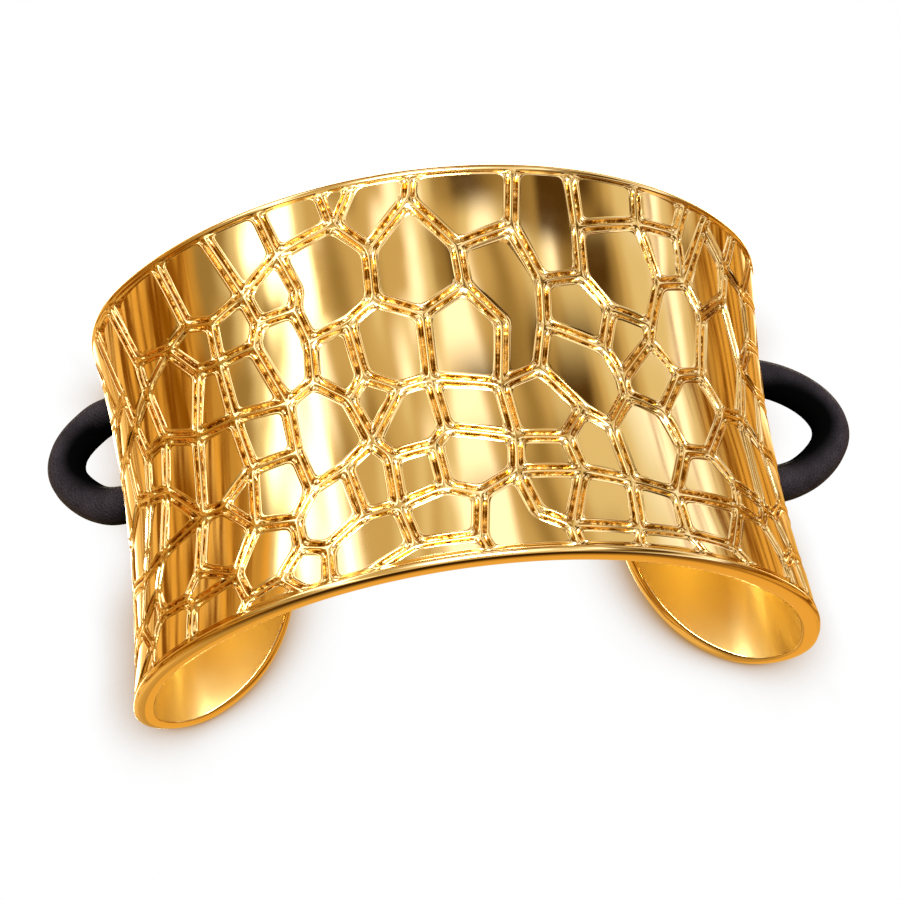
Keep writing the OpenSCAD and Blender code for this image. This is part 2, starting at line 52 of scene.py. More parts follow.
# The band's form in millimetres, the same as the solid model's.
HALF_W, HALF_LEN, CROWN_H, CROWN_TURN = 29.2, 18.5, 23.6, math.radians(55)
WALL, FLARE, TAPER = 1.65, 1.3, 0.5
CURL_R, CURL_TURN, END_RUN, END_R = 5.0, math.radians(95), 9.6, 40.0
END_ROUND, END_SQUARE = 19.1, 2.4
RIM_W, INNER_ROUND = 0.8, 0.2
SLOT_DROP, SLOT_H, SLOT_CORNER, SLOT_MEASURED = 2.2, 4.7, 1.5, 0.4
SLOT_Y = {"n": (-3.4, 5.0), "f": (8.1, 14.4)}
LEFT_LOBE, RIGHT_LOBE = 4.9, 7.1

# The camera of the photograph, in degrees, millimetres and the picture's pixels. It looks down
# steeply from the front and a little from the left. The floor's size is in metres.
CAMERA_SIDE, CAMERA_RISE, CAMERA_ROLL = -13.134, 63.0296, 5.9603
CAMERA_FAR, CAMERA_FOCUS, CAMERA_SHIFT, PICTURE = 228.969, 2540.27, (-2.2592, 41.1927), 900
SENSOR = 36.0
FLOOR_SIZE = 6

# The crown's shallow arc and each side's tighter one meet without a kink.
_split = (HALF_W - CROWN_H) / (math.cos(CROWN_TURN) + math.sin(CROWN_TURN) - 1)
CROWN_R = CROWN_H + _split * math.cos(CROWN_TURN)
SIDE_R = HALF_W - _split * math.sin(CROWN_TURN)
CROWN_END = CROWN_R * CROWN_TURN
SIDE_END = CROWN_END + SIDE_R * (math.pi / 2 - CROWN_TURN)
CURL_END = SIDE_END + CURL_R * CURL_TURN
HALF_ARC = CURL_END + END_RUN
ROUND_START = HALF_ARC - END_ROUND
END_TURN = math.pi / 2 + CURL_TURN
# The section's arcs: end and start along the arc, turn at the start, radius, centre's x and z.
ARCS = (
    (CROWN_END, 0.0, 0.0, CROWN_R, 0.0, CROWN_H - CROWN_R),
    (SIDE_END, CROWN_END, CROWN_TURN, SIDE_R, HALF_W - SIDE_R, 0.0),
    (CURL_END, SIDE_END, math.pi / 2, CURL_R, HALF_W - CURL_R, 0.0),
    (1000.0, CURL_END, END_TURN, END_R,
     HALF_W - CURL_R + (CURL_R - END_R) * math.sin(END_TURN),
     (CURL_R - END_R) * math.cos(END_TURN)),
)
# Where the band's own middle stands in the row's frame.
SET_DOWN = Vector(((LEFT_LOBE - RIGHT_LOBE) / 2, 0.0, 6.1288))

# The pattern's corners: name, place across in percent of the half arc, place along in
# percent of the half length there. The same chart as the solid model's.
CHART = """
r0 -63.5 100; r1 -56.5 100; r2 -44 100; r3 -34.7 100; r4 -25.7 100; r5 -16.2 100; r6 -12.2 100
r7 -3.8 100; r8 10.4 100; r9 18.9 100; r10 29.7 100; r11 39.5 100; r12 44.8 100; r13 52.2 100
r14 60.5 100; a1 -24 72; a2 -15.3 79; a3 -11 62.5; a4 -4.6 84; a5 1.2 58.5; a6 9.3 68
a7 19.2 69; a8 29.5 76.5; a9 37.2 77.5; a10 43.7 90; a11 48.8 74; b1 -40.5 58; b2 -36.2 52.5
b3 -30.2 58.5; b4 -28.6 42.5; b5 -22.8 42.5; b6 -22 51; b7 -45 52; b8 -52 57; b9 -51.2 40
b10 -57.8 48.5; b11 -11.4 37.5; b12 1.4 38.5; b13 12.7 40; b14 18.9 44; b15 22.8 28
b16 32.3 47.5; b17 37.7 52.5; b18 40.7 37.5; b19 47.1 54; b20 54.1 66; b21 54.4 39
c1 -55.8 29.5; c2 -60.3 22; c3 -53.5 9.5; c4 -48.6 11.5; c5 -40 32.5; c6 -36 31.5; c7 -29.9 32
c8 -21.3 24.5; c9 -15.4 29; c10 -4.9 26.5; c11 6 18.5; c12 12 17; c13 20.7 7; c14 29.5 23.5
c15 28.8 14.5; c16 50.2 19; c17 55.2 13.5; c18 38.2 4; c19 33.5 0; d1 -42 2; d2 -34.8 1.5
d3 -26 -2; d4 -21.6 4.5; d5 -16.9 -9; d6 -14.4 0.5; d7 -9.7 -9; d8 -5.2 -7; d9 4.4 -13
d10 10.3 -5; d11 23 -7; d12 23.3 -16.5; d13 42.4 -12.5; d14 47.5 -10.5; d15 52.5 -20
d16 -58.4 -7; d17 -54.4 -11; d18 -49.8 -14.5; e1 -42.5 -38.5; e2 -38.3 -39; e3 -32.8 -27.5
e4 -25.5 -27.5; e5 -14.5 -32.5; e6 -4.2 -33; e7 5.2 -40; e8 12.4 -40.5; e9 15.6 -26
e10 19.6 -33.5; e11 29.1 -21.5; e12 31.6 -41; e13 36.5 -39; e14 44.8 -54; e15 47.7 -57
e16 54.8 -47; e17 -56.7 -35; e18 -58 -48; e19 -52 -44.5; f1 -33.2 -55.5; f2 -26.7 -60.5
f3 -23.8 -48; f4 -18.6 -42; f5 -12.2 -42; f6 -6.1 -40; f7 -5.5 -61.5; f8 -0.9 -67; f9 4.5 -57.5
f10 13.7 -58; f11 20.9 -62; f12 28 -65.5; f13 40.3 -64.5; f14 40.9 -51.5; f15 45.6 -67.5
f16 50.5 -58.5; f17 54 -74; f18 -54.2 -60; f19 -59.9 -70; f20 -53 -73.5; f21 -46.8 -74.5
f22 -43.9 -64.5; g1 -45.6 -79; g2 -36.9 -75.5; g3 -35 -90.5; g4 -29.7 -87; g5 -26.3 -74.5
g6 -22.4 -79; g7 -16.9 -68; g8 -12 -67; g9 -10.5 -88; g10 -2 -88.5; g11 6.3 -79; g12 10.6 -86
g13 20.3 -87; g14 28.3 -87; g15 36.3 -88.5; g16 49.9 -84.5; g17 -55.7 -85; z0 -61 -100
z1 -55.5 -100; z2 -46.1 -100; z3 -36.2 -100; z4 -26.9 -100; z5 -22.5 -100; z6 -15.8 -100
z7 -1.2 -100; z8 11 -100; z9 19.8 -100; z10 30.3 -100; z11 39 -100; z12 50 -100; z13 55.5 -100
"""
# The corners of each curled end, mirrored to both sides, in the same columns.
END_CHART = """
s0 70 100; s1 65.5 72; s2 64 46; s3 65.5 20; s4 64 -20; s5 66 -42; s6 64.5 -70; s7 67 -100
p1 76 100; p2 84 100; p3 92 100; p4 96 100; p5 98.8 100; p6 99.7 100; p7 100 0; q1 75 -100
q2 84 -100; q3 91.5 -100; q4 96 -100; q5 98.8 -100; q6 99.7 -100; m1 73.5 -46; m2 74.5 -74
k1 84 66; k2 85.5 38; k3 83.5 10; k4 85.5 -16; k5 83.5 -46; k6 85 -72; t1 92 46; t2 92.5 -6
t3 92 -52
"""
# The pads, each as its corners in turn, clockwise seen from outside.
PADS = """
r0 r1 b8 b9 c1 b10; r1 r2 b1 b7 b8; r2 r3 b3 b2 b1; r3 r4 a1 b3; r4 r5 a2 a1; r5 r6 a2
r6 r7 a4 a3 a2; r7 r8 a6 a5 a4; r8 r9 a7 b14 b13 a6; r9 r10 a8 a7; r10 r11 a9 a8
r11 r12 a10 b17 a9; r12 r13 a11 a10; r13 r14 b20 a11; b8 b7 b9; b9 b7 c5 d1 c4; b7 b1 b2 c6 c5
b2 b3 b4 c7 c6; b3 a1 b6 b5 b4; b6 a1 a2 a3 b11 c9 c8 b5; b4 b5 c8 d4 d3 c7
a3 a4 a5 b12 c10 b11; a5 a6 b13 c12 d10 d9 c11 b12; b13 b14 b15 c13 c12; b14 a7 a8 b16 c14 b15
a8 a9 b17 b16; b16 b17 b18 c18 c19 c15 c14; b17 a10 a11 b19 b18; a11 b20 b21 c16 b19
b18 b19 c16 d14 d13 c18; c5 c6 d2 d1; c6 c7 d3 d2; c8 c9 d6 d5 d4; c9 b11 c10 d8 d7 d6
c10 b12 c11 d9 d8; c12 c13 d11 d12 e10 e9 d10; c13 b15 c14 c15 d11; c15 c19 e11 d12 d11
c19 c18 d13 e13 e12 e11; d13 d14 e15 e14 f14 e13; c16 c17 d15 d14; d14 d15 e16 f16 e15
b9 c4 c3 c1; c4 d1 e1 d18; c3 c4 d18 d17; c1 c3 d17 d16 c2; d1 d2 e3 e2 e1; d2 d3 e4 e3
d3 d4 d5 e5 f4 f3 e4; d6 d7 e5 d5; d7 d8 e6 f6 f5 e5; d8 d9 e7 e6; d9 d10 e9 e8 e7
e9 e10 f11 f10 e8; d12 e11 e12 f12 f11 e10; e12 e13 f14 f13 f12; f14 e14 e15 f15 f13
e15 f16 f17 g16 f15; d17 d18 e19 e18 e17; d18 e1 e19; e1 f22 f21 f20 f18 e19; e18 e19 f18 f19
e1 e2 f1 g2 f22; e2 e3 f1; e3 e4 f3 f2 f1; f3 f4 g7 g6 g5 f2; f4 e5 f5 g8 g7; f5 f6 f7 g8
f6 e6 e7 f9 f8 f7; e7 e8 f10 f9; f8 f9 g11 g12 z8 z7 g10; f9 f10 g12 g11; f10 f11 g13 g12
f11 f12 g14 g13; f12 f13 g15 g14; f13 f15 g16 z12 z11 g15; g16 f17 z13 z12; f19 f18 f20 g17
g17 z1 z0; g17 f20 f21 g1 z2 z1; f22 g2 g1 f21; g2 g3 z3 z2 g1; f1 f2 g5 g4 g3 g2; g3 g4 z4 z3
g4 g5 g6 z5 z4; g6 g7 g8 g9 z6 z5; g8 f7 f8 g10 g9; g9 g10 z7 z6; g12 g13 z9 z8; g13 g14 z10 z9
g14 g15 z11 z10; r0 b10 Ls2 Ls1 Ls0; b10 c1 c2 Ls3 Ls2; c2 d16 Ls4 Ls3; d16 d17 e17 e18 Ls5 Ls4
e18 f19 Ls6 Ls5; f19 g17 z0 Ls7 Ls6; r14 Rs0 Rs1 b20; b20 Rs1 Rs2 b21; b21 Rs2 Rs3 c17 c16
c17 Rs3 Rs4 d15; d15 Rs4 Rs5 e16; e16 Rs5 Rs6 f17 f16; f17 Rs6 Rs7 z13
"""
END_PADS = """
s0 p1 f2 f1 s1; s1 f1 f0 s2; s2 f0 f7 n2 n1 s3; s3 n1 n0 s4; s4 n0 n7 m1 s5; s5 m1 m2 s6
s6 m2 q1 s7; n2 f7 f6 n3; f2 p1 p2 k1 f4 f3; f4 k1 k2 f5; f5 k2 k3 n4 n3 f6; n4 k3 k4 n5
n5 k4 k5 m1 n7 n6; m1 k5 k6 m2; m2 k6 q2 q1; p2 p3 t1 k2 k1; k2 t1 t2 k4 k3; k4 t2 t3 k6 k5
k6 t3 q3 q2; t1 p3 p4 p5 p6 p7 t2; t2 p7 q6 q5 q4 q3 t3
"""

# A pad's edge from the middle of the channel inward, in millimetres: distance, and the level
# beside a channel, beside the rim and beside a slot. A smooth web runs along the channel's
# middle, then comes the sunken floor, the wall, and a narrow raised bead round the pad.
PAD_EDGE = (
    (0.00, 0.05, -0.22, -0.10),
    (0.09, 0.02, -0.25, -0.04),
    (0.16, -0.08, -0.20, -0.01),
    (0.23, -0.32, -0.12, 0.00),
    (0.40, -0.35, -0.05, 0.00),
    (0.47, -0.16, 0.00, 0.00),
    (0.51, 0.02, 0.04, 0.00),
    (0.56, 0.085, 0.07, 0.00),
    (0.62, 0.07, 0.05, 0.00),
    (0.68, -0.03, -0.02, 0.00),
    (0.76, 0.00, 0.00, 0.00),
)
# The table's column for each kind of side, and how much of the table's distances beside it.
EDGE_COLUMN = {"": 1, "rim": 2, "slot": 3}
EDGE_SHARE = {"rim": 0.42, "slot": 0.71}
# The rings that are hammered uneven, and the strips between rings that are granular.
FLOOR_RINGS = (3, 4)
GRAIN_STRIPS = (2, 3, 4)
# Most of a small pad's half width that its edge may take.
SMALL_PAD_SHARE = 0.45
# The junctions' smooth web: its level, where it starts to sink and where it has sunk, in
# millimetres along the channel, and the length of a channel from which both hold in full.
WEB_LEVEL, WEB_FROM, WEB_TO, WEB_CHANNEL = 0.02, 0.15, 0.6, 2.6
# Least sum of two neighbouring points' distances out of the web, from 0 to 1 each, at which
# the channel between them is granular.
GRAIN_FROM = 0.7
# Inset in millimetres at which a pad's corners are fully rounded, and the mirror top's rings.
CORNER_ROUND = 0.3
TOP_RINGS = (0.34, 0.68)
# Sine of the turn below which two sides count as one straight side.
NEAR_STRAIGHT = 0.2
# Most of a side that one rounded corner takes, and most turn of the band between stations.
CORNER_SHARE, STEP_TURN = 0.3, math.radians(9)
# The rim from the groove beside the pads over its rounded top down to the inner face: inset
# from the edge, level.
RIM_ROWS = (
    (0.74, -0.09), (0.68, 0.04), (0.60, 0.09), (0.48, 0.10), (0.34, 0.06), (0.21, -0.04),
    (0.11, -0.18), (0.04, -0.38), (0.005, -0.65), (0.0, -0.85), (0.02, -1.10), (0.07, -1.36),
    (0.13, -1.54),
)
# A slot's wall: share of the way from the outer edge to the inner one, level.
SLOT_ROWS = ((0.06, -0.22), (0.5, -0.9), (0.94, -1.56))

# Spacing of the inner face's points in millimetres where it curls and elsewhere, where the
# first begins, and the share of it that they keep from the edge.
CURL_SPACING, INNER_SPACING, CURL_FROM, EDGE_MARGIN = 0.8, 2.0, SIDE_END - 4, 0.4
# What Blender's triangulation keeps, and the distance at which it takes two points for one.
ONLY_INSIDE, SAME_POINT = 1, 1e-6

MIRROR, GRAIN, SATIN = 0, 1, 2


def linear(hex_colour, strength=1.0):
    """Linear colour, with alpha, of an sRGB hex value."""
    values = [int(hex_colour[i:i + 2], 16) / 255 for i in (1, 3, 5)]
    return [(v / 12.92 if v <= 0.04045 else ((v + 0.055) / 1.055) ** 2.4) * strength
            for v in values] + [1.0]


def entries(table):
    """The entries of a table, which are parted by semicolons or line ends."""
    return [entry.split() for entry in table.replace("\n", ";").split(";") if entry.strip()]


def mix(a, b, f):
    """The share f of the way from a to b."""
    return a * (1 - f) + b * f


def smooth_step(v, low, high):
    """A smooth rise from 0 at low to 1 at high."""
    f = min(1.0, max(0.0, (v - low) / (high - low)))
    return f * f * (3 - 2 * f)


def scatter(*seeds):
    """A steady value from -1 to 1 that looks random."""
    v = math.sin(sum(k * n for k, n in zip((12.9898, 78.233, 37.719), seeds))) * 43758.5453
    return 2 * (v - math.floor(v)) - 1


# --- the band's form --------------------------------------------------------------------

def arc_at(s):
    """The section's turn from straight up at a place along it, and its arc's radius and
    centre there."""
    for end, start, turn, radius, cx, cz in ARCS:
        if abs(s) < end:
            break
    return turn + (abs(s) - start) / radius, radius, cx, cz


def on_band(s, y, level):
    """Point of the band: s along the arc from the crown, y along the ponytail, and the level
    above the outer face, in millimetres."""
    t, radius, cx, cz = arc_at(s)
    q = y / HALF_LEN
    r = radius + FLARE * q * q + level
    x = cx + r * math.sin(t) + TAPER * q * math.sin(min(t, math.pi / 2))
    return Vector((math.copysign(x, s), y, cz + r * math.cos(t)))


def out_of_band(s, y, slope=(0.0, 0.0)):
    """Outward direction of the outer face, leaned by a slope across and along."""
    h = 0.01
    across = (on_band(s + h, y, 0) - on_band(s - h, y, 0)) / (2 * h)
    along = (on_band(s, y + h, 0) - on_band(s, y - h, 0)) / (2 * h)
    out = across.cross(along).normalized()
    return (out - slope[0] * across - slope[1] * along).normalized()


def half_len_at(s):
    """Half the band's length along the ponytail, which rounds off towards its ends."""
    p = min(1.0, max(0.0, abs(s) - ROUND_START) / END_ROUND)
    return HALF_LEN * (1 - p ** END_SQUARE) ** (1 / END_SQUARE)


def outline_at(s):
    """The outline's own parameter, which grows evenly round a rounded end."""
    p = (abs(s) - ROUND_START) / END_ROUND
    if p < 0:
        return s
    p = min(1.0, p)
    return math.copysign(
        ROUND_START + END_ROUND * math.asin(p ** (END_SQUARE / 2)) * 2 / math.pi, s)


def outline_flat(o, far, inset):
    """Flat point at an outline parameter, inset from the edge."""
    if abs(o) < ROUND_START:
        return Vector((o, far * (HALF_LEN - inset)))
    a = min(1.0, (abs(o) - ROUND_START) / END_ROUND) * math.pi / 2
    e = 2 / END_SQUARE
    sine, cosine = max(0.0, math.sin(a)), max(0.0, math.cos(a))
    edge = Vector((ROUND_START + END_ROUND * sine ** e, far * HALF_LEN * cosine ** e))
    n = Vector((sine ** (2 - e) / END_ROUND, far * cosine ** (2 - e) / HALF_LEN))
    p = edge - inset * n.normalized()
    return Vector((math.copysign(p.x, o), p.y))


class Corner:
    """A corner of the pattern: its flat point on the outer and on the inner face, and the
    edge that it lies on. On the rim it has its outline parameter and which half it is on, and
    far tells a slot's corners on its long sides from those on its short ones."""

    def __init__(self, outer, inner, edge="", o=0.0, far=0):
        self.outer, self.inner, self.edge, self.o, self.far = outer, inner, edge, o, far


def charted(side, across, along):
    """The corner at a place of the chart, on the rim where it is at 100 percent."""
    s = side * across / 100 * HALF_ARC
    if abs(along) == 100 or across == 100:
        o, far = outline_at(s), (along > 0) - (along < 0)
        return Corner(outline_flat(o, far, RIM_W), outline_flat(o, far, INNER_ROUND),
                      "rim", o, far)
    flat = Vector((s, along / 100 * half_len_at(s)))
    return Corner(flat, flat)


def read_corners():
    """All corners of the pattern and of the slots, by name."""
    corners = {name: charted(1, float(across), float(along))
               for name, across, along in entries(CHART)}
    slot_s = SIDE_END + SLOT_DROP
    # A slot's walls stand square to the band, so it spans more of the inner face's arc.
    widen = (CURL_R - SLOT_MEASURED) / (CURL_R - WALL)
    h, c = SLOT_H / 2, SLOT_CORNER
    for letter, side in (("L", -1), ("R", 1)):
        for name, across, along in entries(END_CHART):
            corners[letter + name] = charted(side, float(across), float(along))
        for slot, (y0, y1) in SLOT_Y.items():
            places = ((-h, y0 + c), (-h, y1 - c), (c - h, y1), (h - c, y1),
                      (h, y1 - c), (h, y0 + c), (h - c, y0), (c - h, y0))
            for i, (at, y) in enumerate(places):
                corners[f"{letter}{slot}{i}"] = Corner(
                    Vector((side * (slot_s + at), y)),
                    Vector((side * (slot_s + at * widen), y)), letter + slot, far=abs(at) == h)
    return corners


def read_pads():
    """All pads, each as its corners' names, with the curled ends' pads on both sides."""
    pads = entries(PADS)
    for names in entries(END_PADS):
        pads.append(["R" + name for name in names])
        pads.append(["L" + name for name in reversed(names)])
    return pads


class BandMesh:
    """Collects the band's points, finished directions and faces. A point that two pads share
    has one name, so the shell closes."""

    def __init__(self):
        self.points, self.normals, self.names = [], [], {}
        self.faces, self.finish = [], []

    def point(self, name, place, normal=None):
        """Adds a point, or finds the one that has the name."""
        if name is not None and name in self.names:
            return self.names[name]
        self.points.append(place)
        self.normals.append(normal if normal is not None else Vector((0, 0, 0)))
        if name is not None:
            self.names[name] = len(self.points) - 1
        return len(self.points) - 1

    def face(self, corners, finish):
        """Adds a face, without corners that fall together."""
        kept = []
        for c in corners:
            if c not in kept:
                kept.append(c)
        if len(kept) > 2:
            self.faces.append(kept)
            self.finish.append(finish)

    def strip(self, low, high, finish, closed=True):
        """Faces between two rows of points, of which high lies inward of low, both clockwise."""
        n = len(low)
        for i in range(n if closed else n - 1):
            j = (i + 1) % n
            f = finish[i] if isinstance(finish, list) else finish
            self.face((low[j], low[i], high[i], high[j]), f)


def side_kind(a, b):
    """What a side of a pad follows: the rim, a slot, or a channel, which has no name."""
    if a.edge and a.edge == b.edge:
        return "rim" if a.edge == "rim" else "slot"
    return ""


def stations(a, b, step, corner_mm):
    """Places along a pad's side as shares of it, the same from both of its pads, and the
    side's length."""
    length = (a.outer - b.outer).length
    zone = min(corner_mm, CORNER_SHARE * length) / length
    turn = abs(math.copysign(arc_at(a.outer.x)[0], a.outer.x)
               - math.copysign(arc_at(b.outer.x)[0], b.outer.x))
    n = max(1, math.ceil(length * (1 - 2 * zone) / step), math.ceil(turn / STEP_TURN))
    middle = [zone + (1 - 2 * zone) * j / n for j in range(n + 1)]
    return [0.0, zone / 2] + middle + [1 - zone / 2], length


def on_side(a, b, f, inset, face):
    """Flat point at a share of the way along a side, on the outer or the inner face."""
    if a.edge == b.edge == "rim":
        return outline_flat(mix(a.o, b.o, f), a.far or b.far, inset)
    p, q = getattr(a, face), getattr(b, face)
    if a.edge and a.edge == b.edge and a.far != b.far:
        # A slot's rounded corner.
        c = Vector((q.x, p.y)) if a.far else Vector((p.x, q.y))
        turn = f * math.pi / 2
        return c + math.cos(turn) * (p - c) + math.sin(turn) * (q - c)
    return mix(p, q, f)


def cross2(a, b):
    """Cross product of two flat directions."""
    return a.x * b.y - a.y * b.x


def right_of(a, b):
    """Flat direction to the right of the way from a to b."""
    d = (b - a).normalized()
    return Vector((d.y, -d.x))


def inset_polygon(corners, widths):
    """The corners of a pad moved inward, each side by its own width."""
    k = len(corners)
    normals = [right_of(corners[i], corners[(i + 1) % k]) for i in range(k)]
    moved = []
    for i in range(k):
        a, b, wa, wb = normals[i - 1], normals[i], widths[i - 1], widths[i]
        x = cross2(a, b)
        if abs(x) < NEAR_STRAIGHT:
            moved.append(corners[i] + (a * wa + b * wb) / 2)
        else:
            moved.append(corners[i] + Vector((wa * b.y - wb * a.y, wb * a.x - wa * b.x)) / x)
    return moved


def settle(c, polygon, rounds=12, margin=0.15):
    """Moves a point until it lies inside every side of a pad by a small margin."""
    for _ in range(rounds):
        move = Vector((0, 0))
        for i, p in enumerate(polygon):
            n = right_of(p, polygon[(i + 1) % len(polygon)])
            move += max(0.0, margin - (c - p).dot(n)) * n
        c = c + move
    return c


def inside(p, loop, margin):
    """Whether a flat point lies within a loop, clear of its edge."""
    crossings = 0
    for i, a in enumerate(loop):
        b = loop[(i + 1) % len(loop)]
        f = min(1.0, max(0.0, (p - a).dot(b - a) / (b - a).length_squared))
        if (p - mix(a, b, f)).length < margin:
            return False
        if (a.y > p.y) != (b.y > p.y) and p.x < a.x + (b.x - a.x) * (p.y - a.y) / (b.y - a.y):
            crossings += 1
    return crossings % 2 == 1


def fill_inner_face(mesh, loop, names, spacing):
    """Fills a loop of flat points, which have names, with triangles of the inner face."""
    low = Vector((min(p.x for p in loop), min(p.y for p in loop)))
    high = Vector((max(p.x for p in loop), max(p.y for p in loop)))
    flats = list(loop)
    for i in range(1, math.ceil((high.x - low.x) / spacing)):
        for j in range(1, math.ceil((high.y - low.y) / spacing)):
            p = low + spacing * Vector((i, j + 0.5 * (i % 2)))
            if inside(p, loop, EDGE_MARGIN * spacing):
                flats.append(p)
    count = len(loop)
    spread, _, faces, origins, _, _ = delaunay_2d_cdt(
        flats, [], [list(range(count))], ONLY_INSIDE, SAME_POINT)
    ids = []
    for p, origin in zip(spread, origins):
        name = ("in",) + names[min(origin)] if origin and min(origin) < count else None
        ids.append(mesh.point(name, on_band(p.x, p.y, -WALL), -out_of_band(p.x, p.y)))
    for face in faces:
        a, b, c = (spread[i] for i in face)
        turned = face if cross2(b - a, c - a) < 0 else face[::-1]
        mesh.face([ids[i] for i in turned], SATIN)


class Pad:
    """One pad of the pattern, with its half of the channels around it and what lies under and
    beside it. The points along its sides are its stations."""

    def __init__(self, index, names, corners, settings):
        k = len(names)
        self.index, self.settings = index, settings
        self.base = [corners[name].outer for name in names]
        self.sides = [(corners[names[i]], corners[names[(i + 1) % k]]) for i in range(k)]
        self.kinds = [side_kind(a, b) for a, b in self.sides]
        self.rows = [stations(a, b, settings.step, settings.corner) for a, b in self.sides]
        size = abs(sum(cross2(a.outer, b.outer) for a, b in self.sides)) / 2
        around = sum((a.outer - b.outer).length for a, b in self.sides)
        self.room = SMALL_PAD_SHARE * 2 * size / around
        self.scale = min(1.0, self.room / PAD_EDGE[-1][0])
        # For each station its name, which the pad across the side knows too, how far it is out
        # of a junction's web, from 0 to 1, and its side's kind.
        self.shared, self.open_share, self.kind_at = [], [], []
        for i, (shares, length) in enumerate(self.rows):
            a, b, n = names[i], names[(i + 1) % k], len(shares)
            reach = min(1.0, length / WEB_CHANNEL)
            for j, f in enumerate(shares):
                self.shared.append((a,) if j == 0 else (a, b, j) if a < b else (b, a, n - j))
                self.open_share.append(smooth_step(min(f, 1 - f) * length,
                                                   WEB_FROM * reach, WEB_TO * reach))
                self.kind_at.append(self.kinds[i])

    def widths(self, distance):
        """How far each side moves inward at a distance of the edge's table."""
        return [min(self.room, distance * EDGE_SHARE[kind]) if kind else distance * self.scale
                for kind in self.kinds]

    def ring(self, distance):
        """Flat points of the ring at a distance of the edge's table, with rounded corners. A
        side along the rim or a slot keeps its bulge."""
        moved = inset_polygon(self.base, self.widths(distance))
        lines = []
        for i, ((a, b), (shares, _)) in enumerate(zip(self.sides, self.rows)):
            c, d = moved[i], moved[(i + 1) % len(moved)]
            line = [mix(c, d, f) for f in shares]
            if self.kinds[i]:
                line = [p + (on_side(a, b, f, RIM_W, "outer") - mix(a.outer, b.outer, f))
                        for p, f in zip(line, shares)]
            lines.append(line)
        rounding = smooth_step(distance, 0.0, CORNER_ROUND)
        for i, c in enumerate(moved):
            before, after = lines[i - 1], lines[i]
            a, e = before[-2], after[2]
            bend = [(1 - u) ** 2 * a + 2 * u * (1 - u) * c + u * u * e
                    for u in (0.25, 0.5, 0.75)]
            before[-1] = mix(before[-1], bend[0], rounding)
            after[0] = mix(after[0], bend[1], rounding)
            after[1] = mix(after[1], bend[2], rounding)
        return [p for line in lines for p in line]

    def level_at(self, r, i):
        """Level of a ring's point, between the junctions' web and the edge's table."""
        kind, share = self.kind_at[i], self.open_share[i]
        level = mix(WEB_LEVEL, PAD_EDGE[r][EDGE_COLUMN[kind]], share)
        if r in FLOOR_RINGS and kind == "":
            level += self.settings.hammer * scatter(self.index, i, r) * share
        return level

    def add_top(self, mesh):
        """Adds the half channels, the bead round the pad and its mirror top."""
        rings = [self.ring(row[0]) for row in PAD_EDGE]
        lip, count = rings[-1], len(self.shared)
        lip_corners = inset_polygon(self.base, self.widths(PAD_EDGE[-1][0]))
        centre = settle(sum(lip, Vector((0, 0))) / count, lip_corners)
        lean = Vector((scatter(self.index, 1), scatter(self.index, 2))) * self.settings.lean
        dome = self.settings.dome

        def rise(p):
            d = p - centre
            return lean.dot(d) - dome / 2 * d.length_squared

        lip_rise = sum(rise(p) for p in lip) / count

        def top_point(p):
            slope = lean - dome * (p - centre)
            return mesh.point(None, on_band(p.x, p.y, rise(p) - lip_rise),
                              out_of_band(p.x, p.y, (slope.x, slope.y)))

        lines = [[mesh.point(("out",) + self.shared[i] if r == 0 else None,
                             on_band(p.x, p.y, self.level_at(r, i)))
                  for i, p in enumerate(ring)] for r, ring in enumerate(rings[:-1])]
        lines.append([top_point(p) for p in lip])
        for r in range(len(lines) - 1):
            mesh.strip(lines[r], lines[r + 1], [
                GRAIN if r in GRAIN_STRIPS and self.kind_at[i] == ""
                and self.open_share[i] + self.open_share[(i + 1) % count] > GRAIN_FROM
                else MIRROR for i in range(count)])
        last = lines[-1]
        for f in TOP_RINGS:
            line = [top_point(mix(p, centre, f)) for p in lip]
            mesh.strip(last, line, MIRROR)
            last = line
        top = top_point(centre)
        for i in range(count):
            mesh.face((last[(i + 1) % count], last[i], top), MIRROR)

    def add_inner_face(self, mesh):
        """Adds the satin inner face under the pad, with more points where the band curls."""
        loop, names, start = [], [], 0
        for (a, b), kind, (shares, _) in zip(self.sides, self.kinds, self.rows):
            for j, f in enumerate(shares):
                if kind or j not in (1, len(shares) - 1):
                    loop.append(on_side(a, b, f, INNER_ROUND, "inner"))
                    names.append(self.shared[start + j])
            start += len(shares)
        curled = abs(self.base[0].x) > CURL_FROM
        fill_inner_face(mesh, loop, names, CURL_SPACING if curled else INNER_SPACING)

    def add_edges(self, mesh):
        """Adds the rim or a slot's wall along the sides that follow one."""
        start = 0
        for (a, b), kind, (shares, _) in zip(self.sides, self.kinds, self.rows):
            if kind:
                names = [self.shared[(start + j) % len(self.shared)]
                         for j in range(len(shares) + 1)]
                above = [mesh.names[("out",) + name] for name in names]
                table = RIM_ROWS if kind == "rim" else SLOT_ROWS
                for r, (at, level) in enumerate(table):
                    row = []
                    for name, f in zip(names, shares + [1.0]):
                        if kind == "rim":
                            p = on_side(a, b, f, at, "outer")
                        else:
                            p = mix(on_side(a, b, f, 0, "outer"), on_side(a, b, f, 0, "inner"),
                                    at)
                        row.append(mesh.point((kind, r) + name, on_band(p.x, p.y, level)))
                    mesh.strip(row, above, MIRROR, closed=False)
                    above = row
                below = [mesh.names[("in",) + name] for name in names]
                mesh.strip(below, above, MIRROR, closed=False)
            start += len(shares)


# --- small helpers for the scene ---------------------------------------------------------

def new_material(name):
    """An empty node material and its node tree."""
    material = bpy.data.materials.new(name)
    material.use_nodes = True
    material.node_tree.nodes.clear()
    return material, material.node_tree


